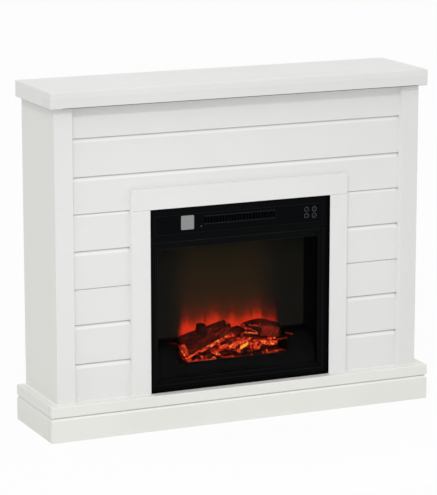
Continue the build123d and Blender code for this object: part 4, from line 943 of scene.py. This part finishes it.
def add_signs_and_rim_highlights():
    """A pale ring round each button's rim, which is a painted highlight, and a plain sign printed on each
    button's dished face, both of which move with the button.
    """
    dish_depth = 0.0004
    stroke, thickness = 0.00035, 0.00008
    rim_radius, rim_width = 0.0057, 0.0003
    wave_reach, wave_swing, wave_apart = 0.0022, 0.0005, 0.0011
    signs = {
        "power_button": [circle_path(0.0021, 125, 415, 40), np.linspace((0, 0.0006), (0, 0.0028), 4)],
        "flame_button": [flame_path(0.0019, 0.0026)],
        "low_heat_button": [wave_path(0.0, wave_reach, wave_swing)],
        "high_heat_button": [wave_path(x, wave_reach, wave_swing) for x in (-wave_apart, wave_apart)],
    }
    for node, paths in signs.items():
        low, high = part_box(node)
        centre = ((low.x + high.x) / 2, low.y + dish_depth, (low.z + high.z) / 2)
        rim_centre = (centre[0], low.y, centre[2])
        # The pale ring is a painted highlight on the button's rim
        ring = ribbon_form(circle_path(rim_radius), rim_centre, rim_width, thickness, closed=True)
        piece(f"{node}_ring", ring, "rim_highlight_grey", "button_black", body=node, smooth=False)
        closed = node == "flame_button"
        strokes = [ribbon_form(path, centre, stroke, thickness, closed) for path in paths]
        piece(f"{node}_sign", joined(strokes), "sign_print", "button_black", body=node, smooth=False)


def add_badge():
    """A bare silver plate with a raised rim, on the left of the control panel."""
    centre = (-0.14075, panel_face, 0.50415)
    half = (0.0172, 0.0176)
    profile = (
        (0.0, 0.0), (0.0, 0.0007), (0.0003, 0.0010), (0.0014, 0.0010), (0.0017, 0.0007), (0.0019, 0.0007),
        (0.0030, 0.0007), (0.0100, 0.00072),
    )
    plate = plate_form(centre, half, profile, corner=14.0)
    piece("badge_plate", plate, "badge_silver", "zinc_steel", smooth=False)


def rounded_rectangle(half, low, high, corner, count=6):
    """Points (x, z) of a rectangle with rounded corners, anticlockwise, centred across."""
    quarter = np.radians(np.linspace(0, 90, count))
    middles = ((half, high, 0), (-half, high, 1), (-half, low, 2), (half, low, 3))
    arcs = []
    for x, z, step in middles:
        turn = quarter + step * np.pi / 2
        inner = np.array([x - math.copysign(corner, x), z + (corner if z == low else -corner)])
        arcs.append(inner + corner * np.stack([np.cos(turn), np.sin(turn)], axis=-1))
    return np.concatenate(arcs)


def add_edges():
    """Half-round beads on the moulded edges, whose round shape catches the light and whose paler black than
    the frame's is a painted highlight: round the control panel, round the mouth and the throat of the window,
    and along the joint between the frame's header and its lower part."""
    frame_low, frame_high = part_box("front_frame")
    panel_low, panel_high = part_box("control_panel")
    bevel_depth, edge = 0.009, 0.0005
    mouth = (0.226, 0.1045, 0.459)
    throat = (0.217, 0.1135, 0.441)
    panel = (panel_high.x - edge, panel_low.z + edge, panel_high.z - edge)
    left, right = frame_low.x, frame_high.x
    joint_low, joint_high = mouth[2], mouth[2] + edge
    joint = np.array([(left, joint_low), (right, joint_low), (right, joint_high), (left, joint_high)])
    forms = [
        bead_form(rounded_rectangle(*panel, 0.002), panel_low.y, edge),
        bead_form(rounded_rectangle(*mouth, 0.001), frame_low.y, edge),
        bead_form(rounded_rectangle(*throat, 0.001), frame_low.y + bevel_depth, edge),
        bead_form(joint, frame_low.y, edge),
    ]
    piece("frame_edge_highlights", joined(forms), "edge_highlight_black", "black_frame")


def add_lip():
    """The square lip round the frame's outer edge, which comes forward almost to the surround's face."""
    low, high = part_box("front_frame")
    half_width, short_of_face = 0.0006, 0.0003
    reach = low.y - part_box("surround_top_rail")[0].y - short_of_face
    path = rounded_rectangle(high.x - half_width, low.z + half_width, high.z - half_width, 0.0012)
    lip = ribbon_form(path, (0, low.y, 0), 2 * half_width, reach, closed=True)
    piece("frame_lip", lip, "black_frame", smooth=False)


def add_slot_end_highlights():
    """A painted highlight on the rounded ends of the grille's slots: a pale half ring round each end."""
    count, pitch = 24, 0.008
    middle_x, middle_z = -0.0012, 0.5065
    half_run = 0.0079
    radius, width, thickness = 0.0024, 0.0009, 0.00015
    forms = []
    for x in middle_x + pitch * (np.arange(count) - (count - 1) / 2):
        for rise, start in ((half_run, 0), (-half_run, 180)):
            path = circle_path(radius, start, start + 180, 10)
            forms.append(ribbon_form(path, (x, panel_face, middle_z + rise), width, thickness))
    piece("grille_slot_end_highlights", joined(forms), "slot_end_highlight_grey", "black_panel", smooth=False)


def add_seams():
    """Hairline joints on the flat of the surround, where its two stiles meet the rail above them."""
    seam, thickness = 0.0005, 0.00004
    edge_round = 0.0015
    forms = []
    for node in ("surround_left_stile", "surround_right_stile"):
        low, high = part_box(node)
        path = np.linspace((low.x + edge_round, high.z), (high.x - edge_round, high.z), 8)
        forms.append(ribbon_form(path, (0, low.y, 0), seam, thickness))
    piece("surround_seams", joined(forms), "seam_grey", "white_paint", smooth=False)


def add_plinth_seams():
    """Hairline joints at the plinth's corners, where its side boards meet the ends of the front board, above
    and below the groove: strokes like those on the front, with X and Y changed over."""
    seam, thickness = 0.0010, 0.00004
    groove_low, groove_high = 0.054, 0.063
    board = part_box("plinth_front")
    forms = []
    for node, side, outward in (("plinth_left", 0, 1), ("plinth_right", 1, -1)):
        low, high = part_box(node)
        for foot, head in ((low.z, groove_low), (groove_high, high.z)):
            path = np.linspace((low.y, foot), (low.y, head), 8)
            points, faces = ribbon_form(path, (0, 0, 0), seam, thickness)
            points = np.stack([board[side].x + outward * points[:, 1], points[:, 0], points[:, 2]], axis=-1)
            forms.append((points, [quads[:, ::-1] for quads in faces] if side == 0 else faces))
    piece("plinth_seams", joined(forms), "seam_grey", "white_paint", smooth=False)


def add_shelf_shadow_line():
    """A painted shadow: a dark hairline along the shelf's lower front edge, from one pilaster to the other,
    where shade falls between the shelf and the panels below: a thin skin on the edge's round, with points at
    each turn round the round's middle, run straight across."""
    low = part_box("shelf_front_edge")[0]
    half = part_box("upper_front_panel")[1].x
    edge_round, thickness = 0.002, 0.00004
    first_turn, last_turn = 5, 60
    turn = np.radians(np.linspace(first_turn, last_turn, 9))
    arc = np.stack([-np.cos(turn), -np.sin(turn)], axis=-1)
    ring = np.concatenate([(edge_round + thickness) * arc, edge_round * arc[::-1]])
    ring += [low.y + edge_round, low.z + edge_round]
    across = np.linspace(-half, half, 8)[:, None]
    strip = np.stack(np.broadcast_arrays(across, ring[:, 0], ring[:, 1]), axis=-1)
    piece("shelf_shadow_line", closed_form(strip), "shelf_shadow_grey", "white_paint", smooth=False)


add_signs_and_rim_highlights()
add_badge()
add_edges()
add_lip()
add_slot_end_highlights()
add_seams()
add_plinth_seams()
add_shelf_shadow_line()


# Stage, light and camera


def white_to_eye(tree):
    """1 for rays from the camera, mirrors and glass, which see a white room, and 0 for the rest."""
    rays = place(tree, "LightPath").outputs
    seen = maths(tree, "MAXIMUM", rays["Is Camera Ray"], rays["Is Glossy Ray"])
    return maths(tree, "MAXIMUM", seen, rays["Is Transmission Ray"])


def add_floor():
    """A pale floor, mostly white to the camera, that keeps the object's shadow."""
    reach, white_share = 40.0, 0.94
    mesh = bpy.data.meshes.new("floor")
    corners = [(-reach, -reach, 0), (reach, -reach, 0), (reach, reach, 0), (-reach, reach, 0)]
    mesh.from_pydata(corners, [], [(0, 1, 2, 3)])
    material = bpy.data.materials.new("floor_pale")
    material.use_nodes = True
    tree = material.node_tree
    tree.nodes.clear()
    matt = place(tree, "BsdfDiffuse", {"Color": grey(0.86)}).outputs[0]
    white = place(tree, "Emission", {"Color": grey(1.0), "Strength": 1.0}).outputs[0]
    share = maths(tree, "MULTIPLY", white_to_eye(tree), white_share)
    mixed = place(tree, "MixShader", {0: share, 1: matt, 2: white}).outputs[0]
    place(tree, "OutputMaterial", {"Surface": mixed})
    mesh.materials.append(material)
    new_object("floor", mesh)


def light_room(strength):
    """A white room all round, which lights the object at a strength and shows as white."""
    world = bpy.data.worlds.new("studio")
    bpy.context.scene.world = world
    world.use_nodes = True
    tree = world.node_tree
    tree.nodes.clear()
    warm_white = (1.0, 0.998, 0.993, 1.0)
    lighting = place(tree, "Background", {"Color": warm_white, "Strength": strength}).outputs[0]
    white = place(tree, "Background", {"Color": grey(1.0), "Strength": 1.0}).outputs[0]
    mixed = place(tree, "MixShader", {0: white_to_eye(tree), 1: lighting, 2: white}).outputs[0]
    place(tree, "OutputWorld", {"Surface": mixed})


def aim(made, location, target):
    """Put a lamp or a camera at a place, looking at a target."""
    made.location = location
    made.rotation_mode = "QUATERNION"
    made.rotation_quaternion = (Vector(target) - Vector(location)).to_track_quat("-Z", "Y")


def add_lamp(name, location, target, size, watts):
    """A square soft lamp that looks at a target."""
    lamp = bpy.data.lights.new(name, "AREA")
    lamp.size = size
    lamp.energy = watts
    aim(new_object(name, lamp), location, target)


def add_camera():
    """The photograph's view: a long lens, a little left of the front and above the shelf."""
    azimuth, elevation = math.radians(-24.25), math.radians(11.91)
    target = Vector((-0.0125, 0.012, 0.4116))
    distance = 6.1805
    image_long_side = 495
    focal_pixels = 2488.5
    level = math.cos(elevation)
    back = Vector((math.sin(azimuth) * level, -math.cos(azimuth) * level, math.sin(elevation)))
    data = bpy.data.cameras.new("camera")
    data.sensor_width = 36.0
    data.lens = focal_pixels * data.sensor_width / image_long_side
    data.clip_end = 200.0
    camera = new_object("camera", data)
    aim(camera, target + back * distance, target)
    bpy.context.scene.camera = camera


add_floor()
light_room(0.79)
add_lamp("key", (-1.9, -3.1, 3.0), (0, 0, 0.45), 0.35, 33.0)
add_lamp("low_fill", (-0.05, -0.75, 0.13), (-0.03, -0.1, 0.06), 1.0, 0.85)
add_camera()
bpy.context.scene.view_settings.view_transform = "Standard"
